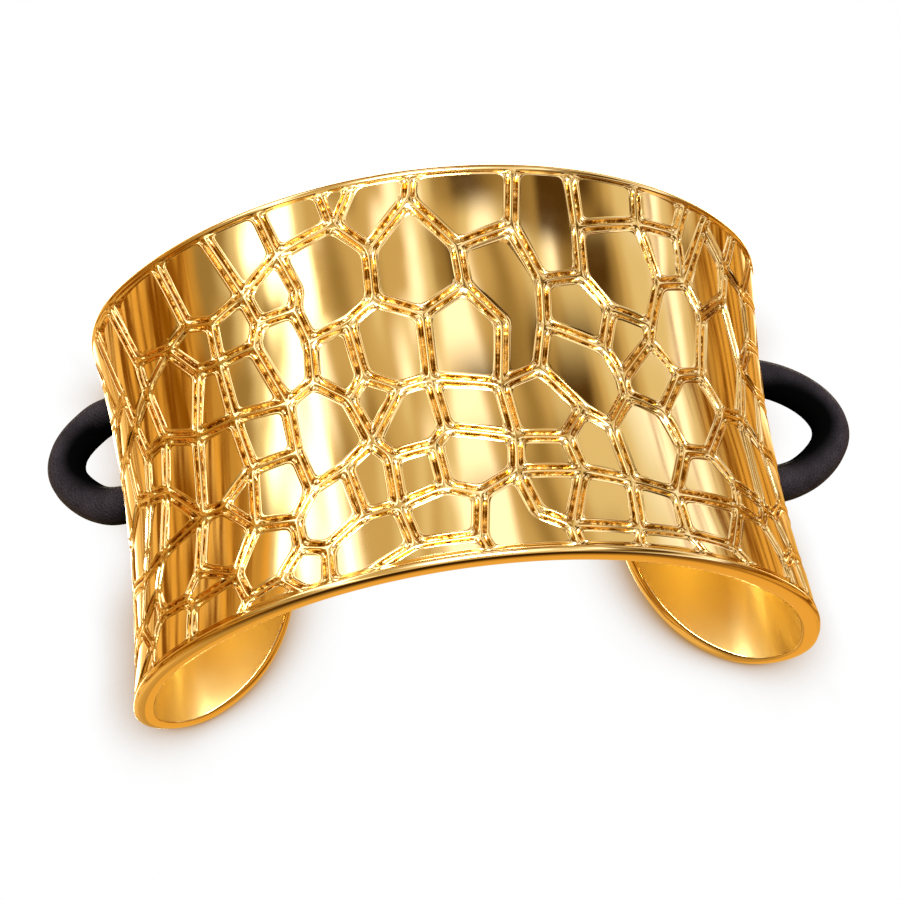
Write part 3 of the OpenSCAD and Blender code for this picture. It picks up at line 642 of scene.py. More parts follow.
def add_node(tree, kind, inputs=None, **settings):
    """Adds one node. inputs gives a value for a socket, or the socket that it is linked to."""
    node = tree.nodes.new(kind)
    for key, value in settings.items():
        setattr(node, key, value)
    for key, value in (inputs or {}).items():
        if isinstance(value, bpy.types.NodeSocket):
            tree.links.new(value, node.inputs[key])
        else:
            node.inputs[key].default_value = value
    return node


def place_object(name, mesh):
    """Puts a mesh into the scene as a piece at the origin."""
    piece = bpy.data.objects.new(name, mesh)
    bpy.context.scene.collection.objects.link(piece)
    return piece


# --- materials ---------------------------------------------------------------------------

def polished_gold(settings):
    """Gold plate on cast zinc alloy, polished to a mirror: clean reflections that waver a
    little, as a hand-polished face does."""
    material, tree = new_material("polished_gold_plate")
    where = add_node(tree, "ShaderNodeTexCoord")
    # The polish wavers over some 7 mm, drawn out along the ponytail.
    stretch = add_node(tree, "ShaderNodeMapping",
                       {"Vector": where.outputs["Object"], "Scale": (1.0, 0.45, 1.0)})
    waver = add_node(tree, "ShaderNodeTexNoise",
                     {"Vector": stretch.outputs["Vector"], "Scale": 1 / (7 * MM),
                      "Detail": 1.0, "Roughness": 0.4})
    bump = add_node(tree, "ShaderNodeBump",
                    {"Height": waver.outputs["Fac"], "Strength": 1.0,
                     "Distance": settings.waver * MM})
    # Handling leaves a soft, uneven haze of about 3 mm.
    haze = add_node(tree, "ShaderNodeTexNoise",
                    {"Vector": where.outputs["Object"], "Scale": 1 / (3 * MM), "Detail": 3.0})
    rough = add_node(tree, "ShaderNodeMapRange",
                     {"Value": haze.outputs["Fac"], "From Min": 0.3, "From Max": 0.75,
                      "To Min": 0.05, "To Max": 0.11})
    shader = add_node(tree, "ShaderNodeBsdfPrincipled",
                      {"Base Color": list(settings.gold) + [1.0], "Metallic": 1.0,
                       "Roughness": rough.outputs["Result"], "Normal": bump.outputs["Normal"]})
    add_node(tree, "ShaderNodeOutputMaterial", {"Surface": shader.outputs["BSDF"]})
    return material


def hammered_gold(settings):
    """The same plate in the cast channels, left hammered and granular: it glitters in small bright
    and dark notches, and its sunken notches carry a painted shade."""
    material, tree = new_material("hammered_gold_plate")
    where = add_node(tree, "ShaderNodeTexCoord")
    # Grains of about 0.45 mm, and notches of twice that.
    grains = add_node(tree, "ShaderNodeTexVoronoi",
                      {"Vector": where.outputs["Object"], "Scale": 1 / (0.45 * MM)},
                      feature="SMOOTH_F1")
    notches = add_node(tree, "ShaderNodeTexNoise",
                       {"Vector": where.outputs["Object"], "Scale": 1 / (0.9 * MM),
                        "Detail": 2.0, "Roughness": 0.6})
    height = add_node(tree, "ShaderNodeMath",
                      {0: grains.outputs["Distance"], 1: notches.outputs["Fac"]},
                      operation="ADD")
    bump = add_node(tree, "ShaderNodeBump",
                    {"Height": height.outputs["Value"], "Strength": 1.0,
                     "Distance": settings.grain_depth * MM})
    # Painted shade: where the notches sink, the grains' colour is painted towards the darker
    # channel shade.
    shade = add_node(tree, "ShaderNodeMapRange",
                     {"Value": notches.outputs["Fac"], "From Min": 0.42, "From Max": 0.54})
    colour = add_node(tree, "ShaderNodeMix",
                      {"Factor": shade.outputs["Result"],
                       "A": list(settings.channel_painted_shade) + [1.0],
                       "B": list(settings.channel_gold) + [1.0]}, data_type="RGBA")
    shader = add_node(tree, "ShaderNodeBsdfPrincipled",
                      {"Base Color": colour.outputs["Result"], "Metallic": 1.0,
                       "Roughness": 0.22, "Normal": bump.outputs["Normal"]})
    add_node(tree, "ShaderNodeOutputMaterial", {"Surface": shader.outputs["BSDF"]})
    return material


def satin_gold(settings):
    """The same plate on the inner face, left unpolished: a satin sheen with fine rubbed lines
    along the ponytail. Its gold is painted paler than the polished plate's, as painted light."""
    material, tree = new_material("satin_gold_plate")
    where = add_node(tree, "ShaderNodeTexCoord")
    rubbed = add_node(tree, "ShaderNodeMapping",
                      {"Vector": where.outputs["Object"], "Scale": (1.0, 0.08, 1.0)})
    lines = add_node(tree, "ShaderNodeTexNoise",
                     {"Vector": rubbed.outputs["Vector"], "Scale": 1 / (0.25 * MM),
                      "Detail": 2.0})
    bump = add_node(tree, "ShaderNodeBump",
                    {"Height": lines.outputs["Fac"], "Strength": 1.0, "Distance": 0.004 * MM})
    # Kept rough enough that it never turns into a blurred mirror of single panels.
    cloud = add_node(tree, "ShaderNodeTexNoise",
                     {"Vector": where.outputs["Object"], "Scale": 1 / (5 * MM), "Detail": 2.0})
    rough = add_node(tree, "ShaderNodeMapRange",
                     {"Value": cloud.outputs["Fac"], "From Min": 0.2, "From Max": 0.8,
                      "To Min": 0.285, "To Max": 0.36})
    shader = add_node(tree, "ShaderNodeBsdfPrincipled",
                      {"Base Color": list(settings.inner_gold) + [1.0], "Metallic": 1.0,
                       "Roughness": rough.outputs["Result"], "Normal": bump.outputs["Normal"]})
    add_node(tree, "ShaderNodeOutputMaterial", {"Surface": shader.outputs["BSDF"]})
    return material


def braided_cover(settings):
    """Black polyester braid over a rubber core: matt, finely grained like well-used suede, with
    threads that cross at a slant and small creases along the bends. Its outer sides carry a
    painted highlight and its inner sides a painted shade."""
    material, tree = new_material("black_braided_polyester")
    where = add_node(tree, "ShaderNodeUVMap", uv_map="UVMap")
    waves = []
    for slant in (0.7, -0.7):
        turned = add_node(tree, "ShaderNodeMapping",
                          {"Vector": where.outputs["UV"], "Rotation": (0, 0, slant)})
        waves.append(add_node(tree, "ShaderNodeTexWave",
                              {"Vector": turned.outputs["Vector"],
                               "Scale": 0.314 / (settings.thread * MM),
                               "Distortion": 2.0, "Detail": 2.0, "Detail Scale": 2.0}))
    threads = add_node(tree, "ShaderNodeMath",
                       {0: waves[0].outputs["Fac"], 1: waves[1].outputs["Fac"]},
                       operation="MULTIPLY")
    # Creases run round the tube, some 0.5 mm apart, and the pile's grain is about 0.25 mm.
    across = add_node(tree, "ShaderNodeMapping",
                      {"Vector": where.outputs["UV"], "Scale": (1.0, 0.35, 1.0)})
    creases = add_node(tree, "ShaderNodeTexNoise",
                       {"Vector": across.outputs["Vector"], "Scale": 1 / (0.5 * MM),
                        "Detail": 3.0, "Roughness": 0.6})
    grain = add_node(tree, "ShaderNodeTexNoise",
                     {"Vector": where.outputs["UV"], "Scale": 1 / (0.25 * MM), "Detail": 2.0})
    rough_pile = add_node(tree, "ShaderNodeMath",
                          {0: creases.outputs["Fac"], 1: grain.outputs["Fac"]}, operation="ADD")
    height = add_node(tree, "ShaderNodeMath",
                      {0: threads.outputs["Value"], 1: 0.3, 2: rough_pile.outputs["Value"]},
                      operation="MULTIPLY_ADD")
    bump = add_node(tree, "ShaderNodeBump",
                    {"Height": height.outputs["Value"], "Strength": 1.0,
                     "Distance": 0.13 * MM})
    # Wear and lint leave the pile a little paler in soft patches of 3 mm.
    patches = add_node(tree, "ShaderNodeTexNoise",
                       {"Vector": where.outputs["UV"], "Scale": 1 / (3 * MM), "Detail": 4.0,
                        "Roughness": 0.7})
    patchy = add_node(tree, "ShaderNodeMapRange",
                      {"Value": patches.outputs["Fac"], "From Min": 0.35, "From Max": 0.65,
                       "To Min": 0.55})
    # Painted light: the lobes' outer sides, which face away from the middle, are painted paler and
    # shinier as a painted highlight. Their inner sides are painted deep black as a painted shade.
    place = add_node(tree, "ShaderNodeTexCoord")
    away = add_node(tree, "ShaderNodeVectorMath", {0: place.outputs["Object"]},
                    operation="NORMALIZE")
    surface = add_node(tree, "ShaderNodeNewGeometry")
    facing = add_node(tree, "ShaderNodeVectorMath",
                      {0: away.outputs["Vector"], 1: surface.outputs["Normal"]},
                      operation="DOT_PRODUCT")
    outer = add_node(tree, "ShaderNodeMapRange",
                     {"Value": facing.outputs["Value"], "From Min": -0.15, "From Max": 1.0},
                     interpolation_type="SMOOTHSTEP")
    # The painted highlight of the outer sides, broken up by the pale wear patches.
    painted_light_and_wear = add_node(tree, "ShaderNodeMath",
                    {0: outer.outputs["Result"], 1: patchy.outputs["Result"]},
                    operation="MULTIPLY")
    # Painted sheen: the specular level follows the painted highlight.
    painted_sheen_level = add_node(tree, "ShaderNodeMath", {0: painted_light_and_wear.outputs["Value"], 1: 0.12},
                     operation="MULTIPLY")
    # From the painted shade's near black to the braid's colour where the painted highlight is
    # full.
    colour = add_node(tree, "ShaderNodeMix",
                      {"Factor": painted_light_and_wear.outputs["Value"], "A": linear("#020202"),
                       "B": list(settings.colour) + [1.0]}, data_type="RGBA")
    shader = add_node(tree, "ShaderNodeBsdfPrincipled",
                      {"Base Color": colour.outputs["Result"], "Roughness": 0.6,
                       "Specular IOR Level": painted_sheen_level.outputs["Value"],
                       "Normal": bump.outputs["Normal"]})
    add_node(tree, "ShaderNodeOutputMaterial", {"Surface": shader.outputs["BSDF"]})
    return material


# --- the elastic's path --------------------------------------------------------------------

# Gap round the elastic, how far it runs straight out of a slot's faces, and the share of the
# curled end's inner run that it crosses level.
ELASTIC_GAP, SLOT_PASSING, STRAND_SHARE = 0.15, 1.0, 0.6
# The lobe's bend from its far slot to its near one: share of the lobe's reach, of the way
# between the slots, and of the rise from the floor to the slot.
LOBE_BEND = ((0.49, 0.04, 0.5), (0.9, 0.2, 0.14), (1.09, 0.45, 0), (0.94, 0.68, 0.08),
             (0.53, 0.9, 0.42))
# Steps between two points of the path, and rounds of smoothing.
PATH_STEPS, PATH_ROUNDS = 10, 40


def elastic_path(settings):
    """The points of the elastic's loop, in the band's own place: through both slots of each
    end, and across the gap inside."""
    reach, passing = settings.thickness / 2 + ELASTIC_GAP, SLOT_PASSING
    left_y = (SLOT_Y["f"][1] - reach, SLOT_Y["n"][1] - reach)
    right_y = (SLOT_Y["f"][0] + reach, SLOT_Y["n"][0] + reach)
    slot_s = SIDE_END + SLOT_DROP
    end = on_band(HALF_ARC, 0, -WALL)
    cross_z, lobe_z = end.z + reach, -SET_DOWN.z + reach

    def lobe(side, ys, out):
        top = on_band(side * slot_s, ys[0], passing).z
        return [Vector((side * (HALF_W + out * a), mix(ys[0], ys[1], b), mix(lobe_z, top, c)))
                for a, b, c in LOBE_BEND]

    def strand(side, y):
        return [Vector((side * end.x, y, cross_z)),
                Vector((side * (end.x + END_RUN * STRAND_SHARE), y, cross_z)),
                on_band(side * slot_s, y, -WALL - passing), on_band(side * slot_s, y, passing)]

    return (strand(-1, left_y[0]) + lobe(-1, left_y, LEFT_LOBE) + strand(-1, left_y[1])[::-1]
            + strand(1, right_y[1]) + lobe(1, right_y, RIGHT_LOBE)[::-1]
            + strand(1, right_y[0])[::-1])


def smooth_loop(points, steps):
    """A closed curve through the points, with even steps between each two."""
    k, line = len(points), []
    for i in range(k):
        a, b, c, d = points[i - 1], points[i], points[(i + 1) % k], points[(i + 2) % k]
        for j in range(steps):
            f = j / steps
            line.append(0.5 * (2 * b + (c - a) * f + (2 * a - 5 * b + 4 * c - d) * f * f
                               + (3 * b - a - 3 * c + d) * f * f * f))
    return line


# --- what a user may change ----------------------------------------------------------------

class CuffBandSettings(bpy.types.PropertyGroup):
    step: bpy.props.FloatProperty(
        name="Step", description="Spacing of the surface's points along a channel, in mm",
        default=0.85, min=0.5, max=2)
    corner: bpy.props.FloatProperty(
        name="Pad corner", description="Length of a pad's side taken by its rounded corner, in mm",
        default=0.75, min=0.3, max=1.5)
    lean: bpy.props.FloatProperty(
        name="Lean", description="How far single pads lean from the band's form, as a slope",
        default=0.05, min=0, max=0.08)
    dome: bpy.props.FloatProperty(
        name="Dome", description="Extra bend of each pad, per mm", default=0.016, min=0, max=0.03)
    hammer: bpy.props.FloatProperty(
        name="Hammering", description="Unevenness of the channels' floor, in mm",
        default=0.06, min=0, max=0.15)
    grain_depth: bpy.props.FloatProperty(
        name="Grain depth", description="Height of the grains in the channels, in mm",
        default=0.08, min=0, max=0.3)
    waver: bpy.props.FloatProperty(
        name="Waver", description="Height of the polished face's slow waves, in mm",
        default=0.07, min=0, max=0.2)
    gold: bpy.props.FloatVectorProperty(
        name="Polished gold", description="Colour of the mirror pads and the rim",
        subtype="COLOR", size=3, default=linear("#F9D58C")[:3], min=0, max=1)
    channel_gold: bpy.props.FloatVectorProperty(
        name="Channel gold", description="Colour of the channels' grains",
        subtype="COLOR", size=3, default=linear("#FFD47C")[:3], min=0, max=1)
    # The painted shade in the channels' sunken notches.
    channel_painted_shade: bpy.props.FloatVectorProperty(
        name="Channel shade", description="Colour between the channels' grains",
        subtype="COLOR", size=3, default=linear("#9A6A1C")[:3], min=0, max=1)
    # A paler copy of the plate's gold, painted light for the inner face.
    inner_gold: bpy.props.FloatVectorProperty(
        name="Inner gold", description="Colour of the satin inner face",
        subtype="COLOR", size=3, default=linear("#FFEBA2")[:3], min=0, max=1)


class CuffElasticSettings(bpy.types.PropertyGroup):
    thickness: bpy.props.FloatProperty(
        name="Thickness", description="Thickness of the covered elastic, in mm",
        default=3.5, min=3, max=3.6)
    thread: bpy.props.FloatProperty(
        name="Thread", description="Spacing of the braid's threads, in mm",
        default=0.36, min=0.2, max=1)
    # The braid's colour where its painted highlight is full; its inner sides are painted near
    # black.
    colour: bpy.props.FloatVectorProperty(
        name="Braid", description="Colour of the braid's threads",
        subtype="COLOR", size=3, default=linear("#272226")[:3], min=0, max=1)


class CuffStageSettings(bpy.types.PropertyGroup):
    floor: bpy.props.FloatVectorProperty(
        name="Floor", description="Colour of the plain floor",
        subtype="COLOR", size=3, default=linear("#FFFFFF")[:3], min=0, max=1)
    shade: bpy.props.FloatProperty(
        name="Shade", description="How near things shade the floor, in mm",
        default=6.5, min=0, max=100)
    sun: bpy.props.FloatProperty(
        name="Overhead light", description="Strength of the soft light from above",
        default=8.0, min=0, max=20)
    front: bpy.props.FloatProperty(
        name="Front light", description="Strength of the light on the curled ends' inner faces",
        default=4.0, min=0, max=20)
    studio: bpy.props.FloatProperty(
        name="Studio", description="Strength of the studio's panels", default=1.0, min=0, max=5)


# --- the studio ------------------------------------------------------------------------------

# Panels of the studio round the cuff, as the polished band mirrors it: colour and strength. The
# white ones stand between warm walls and dark gaps, and amber light comes up from below.
PANELS = {
    "white": ("#EEF5FF", 4.5), "cream": ("#E3E6FF", 2.1), "pale": ("#DCE6FF", 1.5),
    "linen": ("#EAE1CB", 1.0), "wall": ("#D3BF98", 1.0), "khaki": ("#A28C62", 1.0),
    "olive": ("#523B1A", 1.0), "ochre": ("#CBA259", 1.0), "umber": ("#8E5A08", 1.0),
    "amber": ("#F2BC5C", 1.0), "gilt": ("#FFD890", 1.1), "glow": ("#FFEFC8", 8.0),
}
BRIGHTEST = 8.0
# Angle from straight up towards +X in degrees, and panel, for three slices of the studio from
# front to back. The pads at the far rim mirror the first one, and those at the near rim the
# last one.
PANEL_SLICES = ("""
-180 ochre; -140 gilt; -112 amber; -95 umber; -88 ochre; -82 amber; -76 umber; -70 khaki
-63 wall; -57 khaki; -48 wall; -45 cream; -40 white; -36 linen; -31 wall; -23 wall; -15 cream
-9 cream; -4 wall; 4 wall; 12 linen; 19 cream; 28 linen; 39 cream; 46 khaki; 52 olive; 57 olive
64 wall; 78 cream; 86 khaki; 100 umber; 110 amber
""", """
-180 glow; -150 gilt; -99 amber; -89 umber; -82 amber; -76 ochre; -70 khaki; -64 khaki
-57 linen; -50 white; -46 white; -40 wall; -32 khaki; -24 wall; -15 wall; -8 cream; -3 linen
1 khaki; 7 olive; 14 olive; 28 khaki; 35 olive; 45 olive; 51 khaki; 56 wall; 64 linen; 71 linen
79 cream; 86 linen; 98 ochre; 110 amber
""", """
-180 glow; -150 gilt; -112 amber; -89 gilt; -82 amber; -76 ochre; -70 amber; -66 linen
-61 white; -50 cream; -44 white; -38 cream; -33 wall; -25 wall; -18 linen; -12 wall; -6 linen
0 cream; 12 cream; 18 wall; 25 khaki; 32 wall; 38 linen; 60 linen; 70 pale; 82 cream; 91 linen
98 wall; 103 ochre; 108 ochre; 125 amber; 158 glow
""")
# Where each slice gives way to the next, as the direction's share towards the back.
SLICE_EDGES = ((0.28, 0.35), (0.42, 0.55))
# How far the panels' edges waver, in radians.
PANEL_WAVER = 0.35
# Dark streaks in the amber light at both sides: colour, and the angles from straight up, in
# degrees, between which they come in at the top and go out at the bottom.
STREAK, STREAK_TOP, STREAK_FOOT = "#7E4A06", (72, 84), (158, 130)
# The way to the front, from a dark floor up to a pale wall, and the way to the back: where each
# takes over from the panels, as the direction's share towards the back.
FRONT_FLOOR, FRONT_WALL, FRONT_EDGE = "#3A2206", "#D3BF98", (-0.55, -0.95)
BACK_WALL, BACK_EDGE = "#A87430", (0.74, 0.93)
# The painted shadow's warm tone on the floor right beside the gold, tinted as a painted reflection
# of the gold, and the open share of the sky there and in the open.
PAINTED_FLOOR_SHADOW, SHADE_RANGE = "#AC7D38", (0.35, 0.93)


def photo_camera(scene):
    """The camera of the photograph."""
    az, el, roll = (math.radians(v) for v in (CAMERA_SIDE, CAMERA_RISE, CAMERA_ROLL))
    back = Vector((math.sin(az) * math.cos(el), -math.cos(az) * math.cos(el), math.sin(el)))
    right = Vector((math.cos(az), math.sin(az), 0))
    up = back.cross(right)
    r = math.cos(roll) * right + math.sin(roll) * up
    u = -math.sin(roll) * right + math.cos(roll) * up
    lens = bpy.data.cameras.new("photo_camera")
    camera = bpy.data.objects.new("photo_camera", lens)
    scene.collection.objects.link(camera)
    turned = Matrix((r, u, back)).transposed().to_4x4()
    camera.matrix_world = Matrix.Translation((back * CAMERA_FAR + SET_DOWN) * MM) @ turned
    lens.sensor_width = SENSOR
    lens.lens = CAMERA_FOCUS / PICTURE * SENSOR
    lens.shift_x, lens.shift_y = (shift / PICTURE for shift in CAMERA_SHIFT)
    lens.clip_start, lens.clip_end = 0.01, 20
    scene.camera = camera


def pale_floor(settings):
    """Plain white studio paper that glows evenly, with a soft warm shadow painted close to what
    stands on it."""
    material, tree = new_material("pale_floor")
    near = add_node(tree, "ShaderNodeAmbientOcclusion", {"Distance": settings.shade * MM},
                    samples=16)
    open_sky = add_node(tree, "ShaderNodeMapRange",
                        {"Value": near.outputs["AO"], "From Min": SHADE_RANGE[0],
                         "From Max": SHADE_RANGE[1]})
    # Painted shadow: where near things close off the sky, the floor's colour is painted towards
    # the warm shade.
    painted_shadow_tone = add_node(tree, "ShaderNodeMix",
                    {"Factor": open_sky.outputs["Result"], "A": linear(PAINTED_FLOOR_SHADOW),
                     "B": list(settings.floor) + [1.0]}, data_type="RGBA")
    light = add_node(tree, "ShaderNodeEmission", {"Color": painted_shadow_tone.outputs["Result"]})
    add_node(tree, "ShaderNodeOutputMaterial", {"Surface": light.outputs["Emission"]})
    return material


def hang_light(scene, name, strength, spread, turn):
    """A wide, even light from a direction, both in degrees."""
    lamp = bpy.data.lights.new(name, "SUN")
    lamp.energy = strength
    lamp.angle = math.radians(spread)
    light = bpy.data.objects.new(name, lamp)
    light.rotation_euler = [math.radians(v) for v in turn]
    scene.collection.objects.link(light)
    return light


def panel_ramp(tree, share, panels):
    """Colour of one slice of the studio, from the angle's share of the whole turn."""
    ramp = add_node(tree, "ShaderNodeValToRGB", {"Fac": share})
    ramp.color_ramp.interpolation = "EASE"
    stops = ramp.color_ramp.elements
    while len(stops) > 1:
        stops.remove(stops[-1])
    for i, (degrees, panel) in enumerate(entries(panels)):
        place = (float(degrees) + 180) / 360
        stop = stops[0] if i == 0 else stops.new(place)
        stop.position = place
        stop.color = linear(PANELS[panel][0], PANELS[panel][1] / BRIGHTEST)
    return ramp.outputs["Color"]


def blend_by(tree, value, edge, colour, other):
    """One colour of the studio giving way to another as a value crosses an edge."""
    share = add_node(tree, "ShaderNodeMapRange",
                     {"Value": value, "From Min": edge[0], "From Max": edge[1]},
                     interpolation_type="SMOOTHSTEP")
    mixed = add_node(tree, "ShaderNodeMix",
                     {"Factor": share.outputs["Result"], "A": colour, "B": other},
                     data_type="RGBA")
    return mixed.outputs["Result"]


def streak_share(tree, angle, along):
    """How dark the streaks are in each direction."""
    lane = add_node(tree, "ShaderNodeCombineXYZ", {"X": angle, "Y": along})
    lanes = add_node(tree, "ShaderNodeMapping",
                     {"Vector": lane.outputs["Vector"], "Scale": (9.0, 1.6, 1.0)})
    streaks = add_node(tree, "ShaderNodeTexNoise",
                       {"Vector": lanes.outputs["Vector"], "Scale": 1.0, "Detail": 4.0,
                        "Roughness": 0.65, "Distortion": 0.5})
    dark = add_node(tree, "ShaderNodeMapRange",
                    {"Value": streaks.outputs["Fac"], "From Min": 0.46, "From Max": 0.58},
                    interpolation_type="SMOOTHSTEP")
    share = dark.outputs["Result"]
    turn = add_node(tree, "ShaderNodeMath", {0: angle}, operation="ABSOLUTE")
    for low, high in (STREAK_TOP, STREAK_FOOT):
        part = add_node(tree, "ShaderNodeMapRange",
                        {"Value": turn.outputs["Value"], "From Min": math.radians(low),
                         "From Max": math.radians(high)}, interpolation_type="SMOOTHSTEP")
        share = add_node(tree, "ShaderNodeMath", {0: share, 1: part.outputs["Result"]},
                         operation="MULTIPLY").outputs["Value"]
    return share


def studio_colour(tree):
    """Colour of the studio in each direction: the panels, streaks and walls."""
    where = add_node(tree, "ShaderNodeTexCoord")
    parts = add_node(tree, "ShaderNodeSeparateXYZ", {"Vector": where.outputs["Generated"]})
    along, height = parts.outputs["Y"], parts.outputs["Z"]
    angle = add_node(tree, "ShaderNodeMath", {0: parts.outputs["X"], 1: height},
                     operation="ARCTAN2").outputs["Value"]
    drift = add_node(tree, "ShaderNodeTexNoise",
                     {"Vector": where.outputs["Generated"], "Scale": 3.0, "Detail": 1.0})
    warped = add_node(tree, "ShaderNodeMath",
                      {0: drift.outputs["Fac"], 1: PANEL_WAVER, 2: angle},
                      operation="MULTIPLY_ADD")
    share = add_node(tree, "ShaderNodeMapRange",
                     {"Value": warped.outputs["Value"], "From Min": PANEL_WAVER / 2 - math.pi,
                      "From Max": PANEL_WAVER / 2 + math.pi}).outputs["Result"]
    colour = panel_ramp(tree, share, PANEL_SLICES[0])
    for panels, edge in zip(PANEL_SLICES[1:], SLICE_EDGES):
        colour = blend_by(tree, along, edge, colour, panel_ramp(tree, share, panels))
    streaked = add_node(tree, "ShaderNodeMix",
                        {"Factor": streak_share(tree, angle, along), "A": colour,
                         "B": linear(STREAK, 1 / BRIGHTEST)}, data_type="RGBA")
    front = blend_by(tree, height, (0.12, 0.36), linear(FRONT_FLOOR, 1 / BRIGHTEST),
                     linear(FRONT_WALL, 1.2 / BRIGHTEST))
    colour = blend_by(tree, along, FRONT_EDGE, streaked.outputs["Result"], front)
    return blend_by(tree, along, BACK_EDGE, colour, linear(BACK_WALL, 0.8 / BRIGHTEST))


# --- operators ------------------------------------------------------------------------------

class CUFF_OT_stage(bpy.types.Operator):
    """Sets up the camera, the plain floor and the soft studio light"""
    bl_idname = "cuff.stage"
    bl_label = "Set the stage"

    def execute(self, context):
        scene, settings = context.scene, context.scene.cuff_stage
        photo_camera(scene)

        bpy.ops.object.select_all(action="DESELECT")
        bpy.ops.mesh.primitive_plane_add(size=FLOOR_SIZE)
        floor = context.object
        floor.name = "studio_floor"
        floor.data.materials.append(pale_floor(settings))
        # The mirror pads reflect the studio's warm lower half in the floor's place.
        floor.visible_glossy = False
        floor.visible_diffuse = False

        overhead = hang_light(scene, "overhead_light", settings.sun, 100, (-18, 6, 0))
        # The mirrors show the studio's panels and not the light itself.
        overhead.data.specular_factor = 0.0
        overhead.visible_glossy = False
        # A narrower light reaches the curled ends' inner faces past the near rim.
        hang_light(scene, "front_light", settings.front, 30, (16, 0, 0))

        world = bpy.data.worlds.new("studio")
        scene.world = world
        world.use_nodes = True
        tree = world.node_tree
        tree.nodes.clear()
        studio = add_node(tree, "ShaderNodeBackground",
                          {"Color": studio_colour(tree),
                           "Strength": BRIGHTEST * settings.studio})
        # The camera itself sees plain white behind the floor.
        plain = add_node(tree, "ShaderNodeBackground", {"Color": (1, 1, 1, 1)})
        ray = add_node(tree, "ShaderNodeLightPath")
        both = add_node(tree, "ShaderNodeMixShader",
                        {"Fac": ray.outputs["Is Camera Ray"], 1: studio.outputs["Background"],
                         2: plain.outputs["Background"]})
        add_node(tree, "ShaderNodeOutputWorld", {"Surface": both.outputs["Shader"]})
        scene.view_settings.view_transform = "Standard"
        scene.view_settings.look = "None"
        return {"FINISHED"}


class CUFF_OT_band(bpy.types.Operator):
    """Casts the band with its pads, channels, rim and slots"""
    bl_idname = "cuff.band"
    bl_label = "Cast the band"

    def execute(self, context):
        # The mirror pads show the smallest bump in the form, so this piece is worked out
        # point by point on the form instead of being pushed about with the edit tools.
        settings = context.scene.cuff_band
        corners, shell = read_corners(), BandMesh()
        for index, names in enumerate(read_pads()):
            pad = Pad(index, names, corners, settings)
            pad.add_top(shell)
            pad.add_inner_face(shell)
            pad.add_edges(shell)
        mesh = bpy.data.meshes.new("gold_band")
        mesh.from_pydata([(p + SET_DOWN) * MM for p in shell.points], [], shell.faces)
        if mesh.validate():
            raise RuntimeError("the band's mesh has faulty faces")
        for made in (polished_gold, hammered_gold, satin_gold):
            mesh.materials.append(made(settings))
        mesh.polygons.foreach_set("material_index", shell.finish)
        mesh.polygons.foreach_set("use_smooth", [True] * len(mesh.polygons))
        mesh.normals_split_custom_set_from_vertices(shell.normals)
        mesh.update()
        band = place_object("gold_band", mesh)
        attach(band, "root")
        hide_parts("cuff_band")
        return {"FINISHED"}


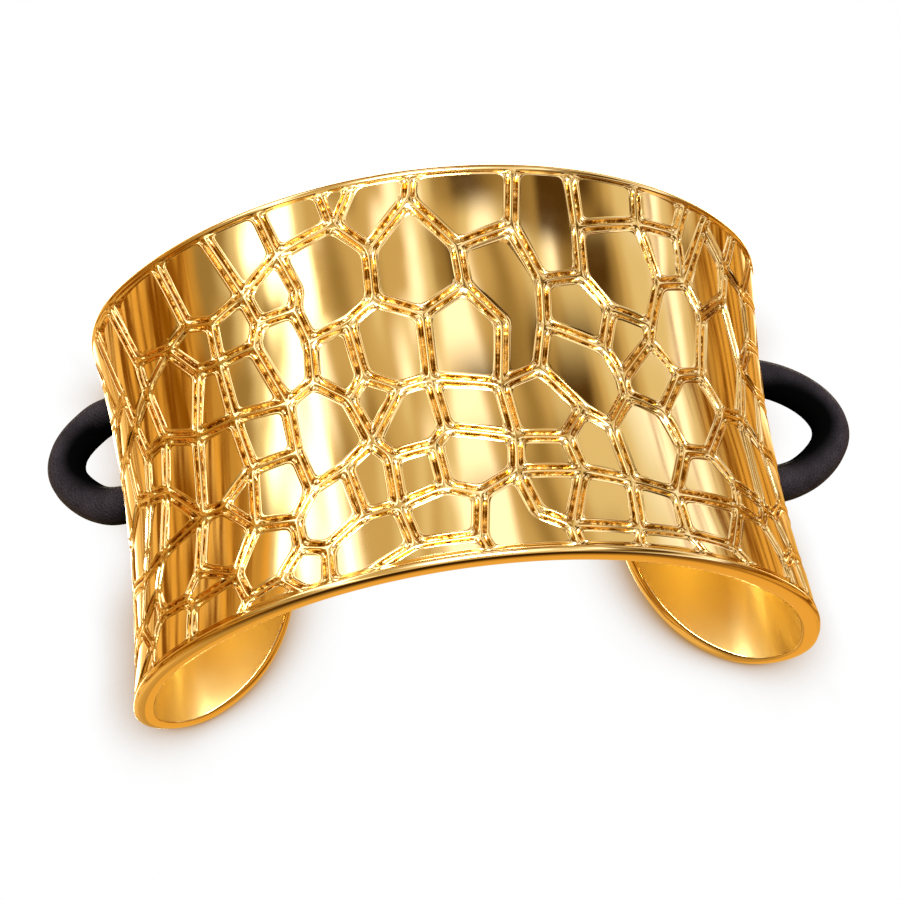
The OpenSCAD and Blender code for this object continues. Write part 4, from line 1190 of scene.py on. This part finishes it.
class CUFF_OT_elastic(bpy.types.Operator):
    """Threads the covered elastic through the slots"""
    bl_idname = "cuff.elastic"
    bl_label = "Thread the elastic"

    def execute(self, context):
        settings = context.scene.cuff_elastic
        line = smooth_loop(elastic_path(settings), PATH_STEPS)
        for _ in range(PATH_ROUNDS):
            line = [(line[i - 1] + 2 * p + line[(i + 1) % len(line)]) / 4
                    for i, p in enumerate(line)]
        bpy.ops.object.select_all(action="DESELECT")
        bpy.ops.curve.primitive_bezier_circle_add()
        loop = context.object
        loop.name = "braided_elastic"
        curve = loop.data
        curve.splines.clear()
        spline = curve.splines.new("POLY")
        spline.points.add(len(line) - 1)
        for at, p in zip(spline.points, line):
            at.co = list((p + SET_DOWN) * MM) + [1.0]
        spline.use_cyclic_u = True
        curve.dimensions = "3D"
        curve.bevel_depth = settings.thickness / 2 * MM
        curve.bevel_resolution = 6
        bpy.ops.object.convert(target="MESH")
        loop = context.object
        mesh = loop.data
        around = len(mesh.vertices) // len(line)
        if around * len(line) != len(mesh.vertices):
            raise RuntimeError("the elastic's tube isn't made of even rings")
        # A UV map in metres, along the loop and round it, for the braid.
        along = [0.0]
        for i in range(len(line)):
            along.append(along[-1] + (line[(i + 1) % len(line)] - line[i]).length * MM)
        girth = math.pi * settings.thickness * MM
        while mesh.uv_layers:
            mesh.uv_layers.remove(mesh.uv_layers[0])
        uv = mesh.uv_layers.new(name="UVMap")
        for face in mesh.polygons:
            ids = [(mesh.loops[i].vertex_index // around, mesh.loops[i].vertex_index % around)
                   for i in face.loop_indices]
            wraps = max(a for a, _ in ids) - min(a for a, _ in ids) > 1
            turns = max(b for _, b in ids) - min(b for _, b in ids) > 1
            for i, (a, b) in zip(face.loop_indices, ids):
                a = len(line) if wraps and a == 0 else a
                b = around if turns and b == 0 else b
                uv.data[i].uv = (along[a], girth * b / around)
        mesh.polygons.foreach_set("use_smooth", [True] * len(mesh.polygons))
        mesh.materials.clear()
        mesh.materials.append(braided_cover(settings))
        # In the photograph the band doesn't mirror the black loop, and the floor stays white
        # under it.
        loop.visible_glossy = False
        loop.visible_shadow = False
        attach(loop, "root")
        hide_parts("hair_elastic")
        return {"FINISHED"}


class CUFF_PT_panel(bpy.types.Panel):
    """Lists the cuff's pieces and settings"""
    bl_label = "Ponytail cuff"
    bl_idname = "CUFF_PT_panel"
    bl_space_type = "VIEW_3D"
    bl_region_type = "UI"
    bl_category = "Cuff"

    def draw(self, context):
        layout = self.layout
        for operator, settings in (("cuff.stage", context.scene.cuff_stage),
                                   ("cuff.band", context.scene.cuff_band),
                                   ("cuff.elastic", context.scene.cuff_elastic)):
            layout.operator(operator)
            for name in settings.__annotations__:
                layout.prop(settings, name)


CLASSES = (CuffBandSettings, CuffElasticSettings, CuffStageSettings, CUFF_OT_stage,
           CUFF_OT_band, CUFF_OT_elastic, CUFF_PT_panel)


def register():
    for cls in CLASSES:
        bpy.utils.register_class(cls)
    bpy.types.Scene.cuff_band = bpy.props.PointerProperty(type=CuffBandSettings)
    bpy.types.Scene.cuff_elastic = bpy.props.PointerProperty(type=CuffElasticSettings)
    bpy.types.Scene.cuff_stage = bpy.props.PointerProperty(type=CuffStageSettings)


def unregister():
    del bpy.types.Scene.cuff_stage
    del bpy.types.Scene.cuff_elastic
    del bpy.types.Scene.cuff_band
    for cls in reversed(CLASSES):
        bpy.utils.unregister_class(cls)


def main():
    register()
    bpy.ops.cuff.stage()
    bpy.ops.cuff.band()
    bpy.ops.cuff.elastic()


if __name__ == "__main__":
    main()
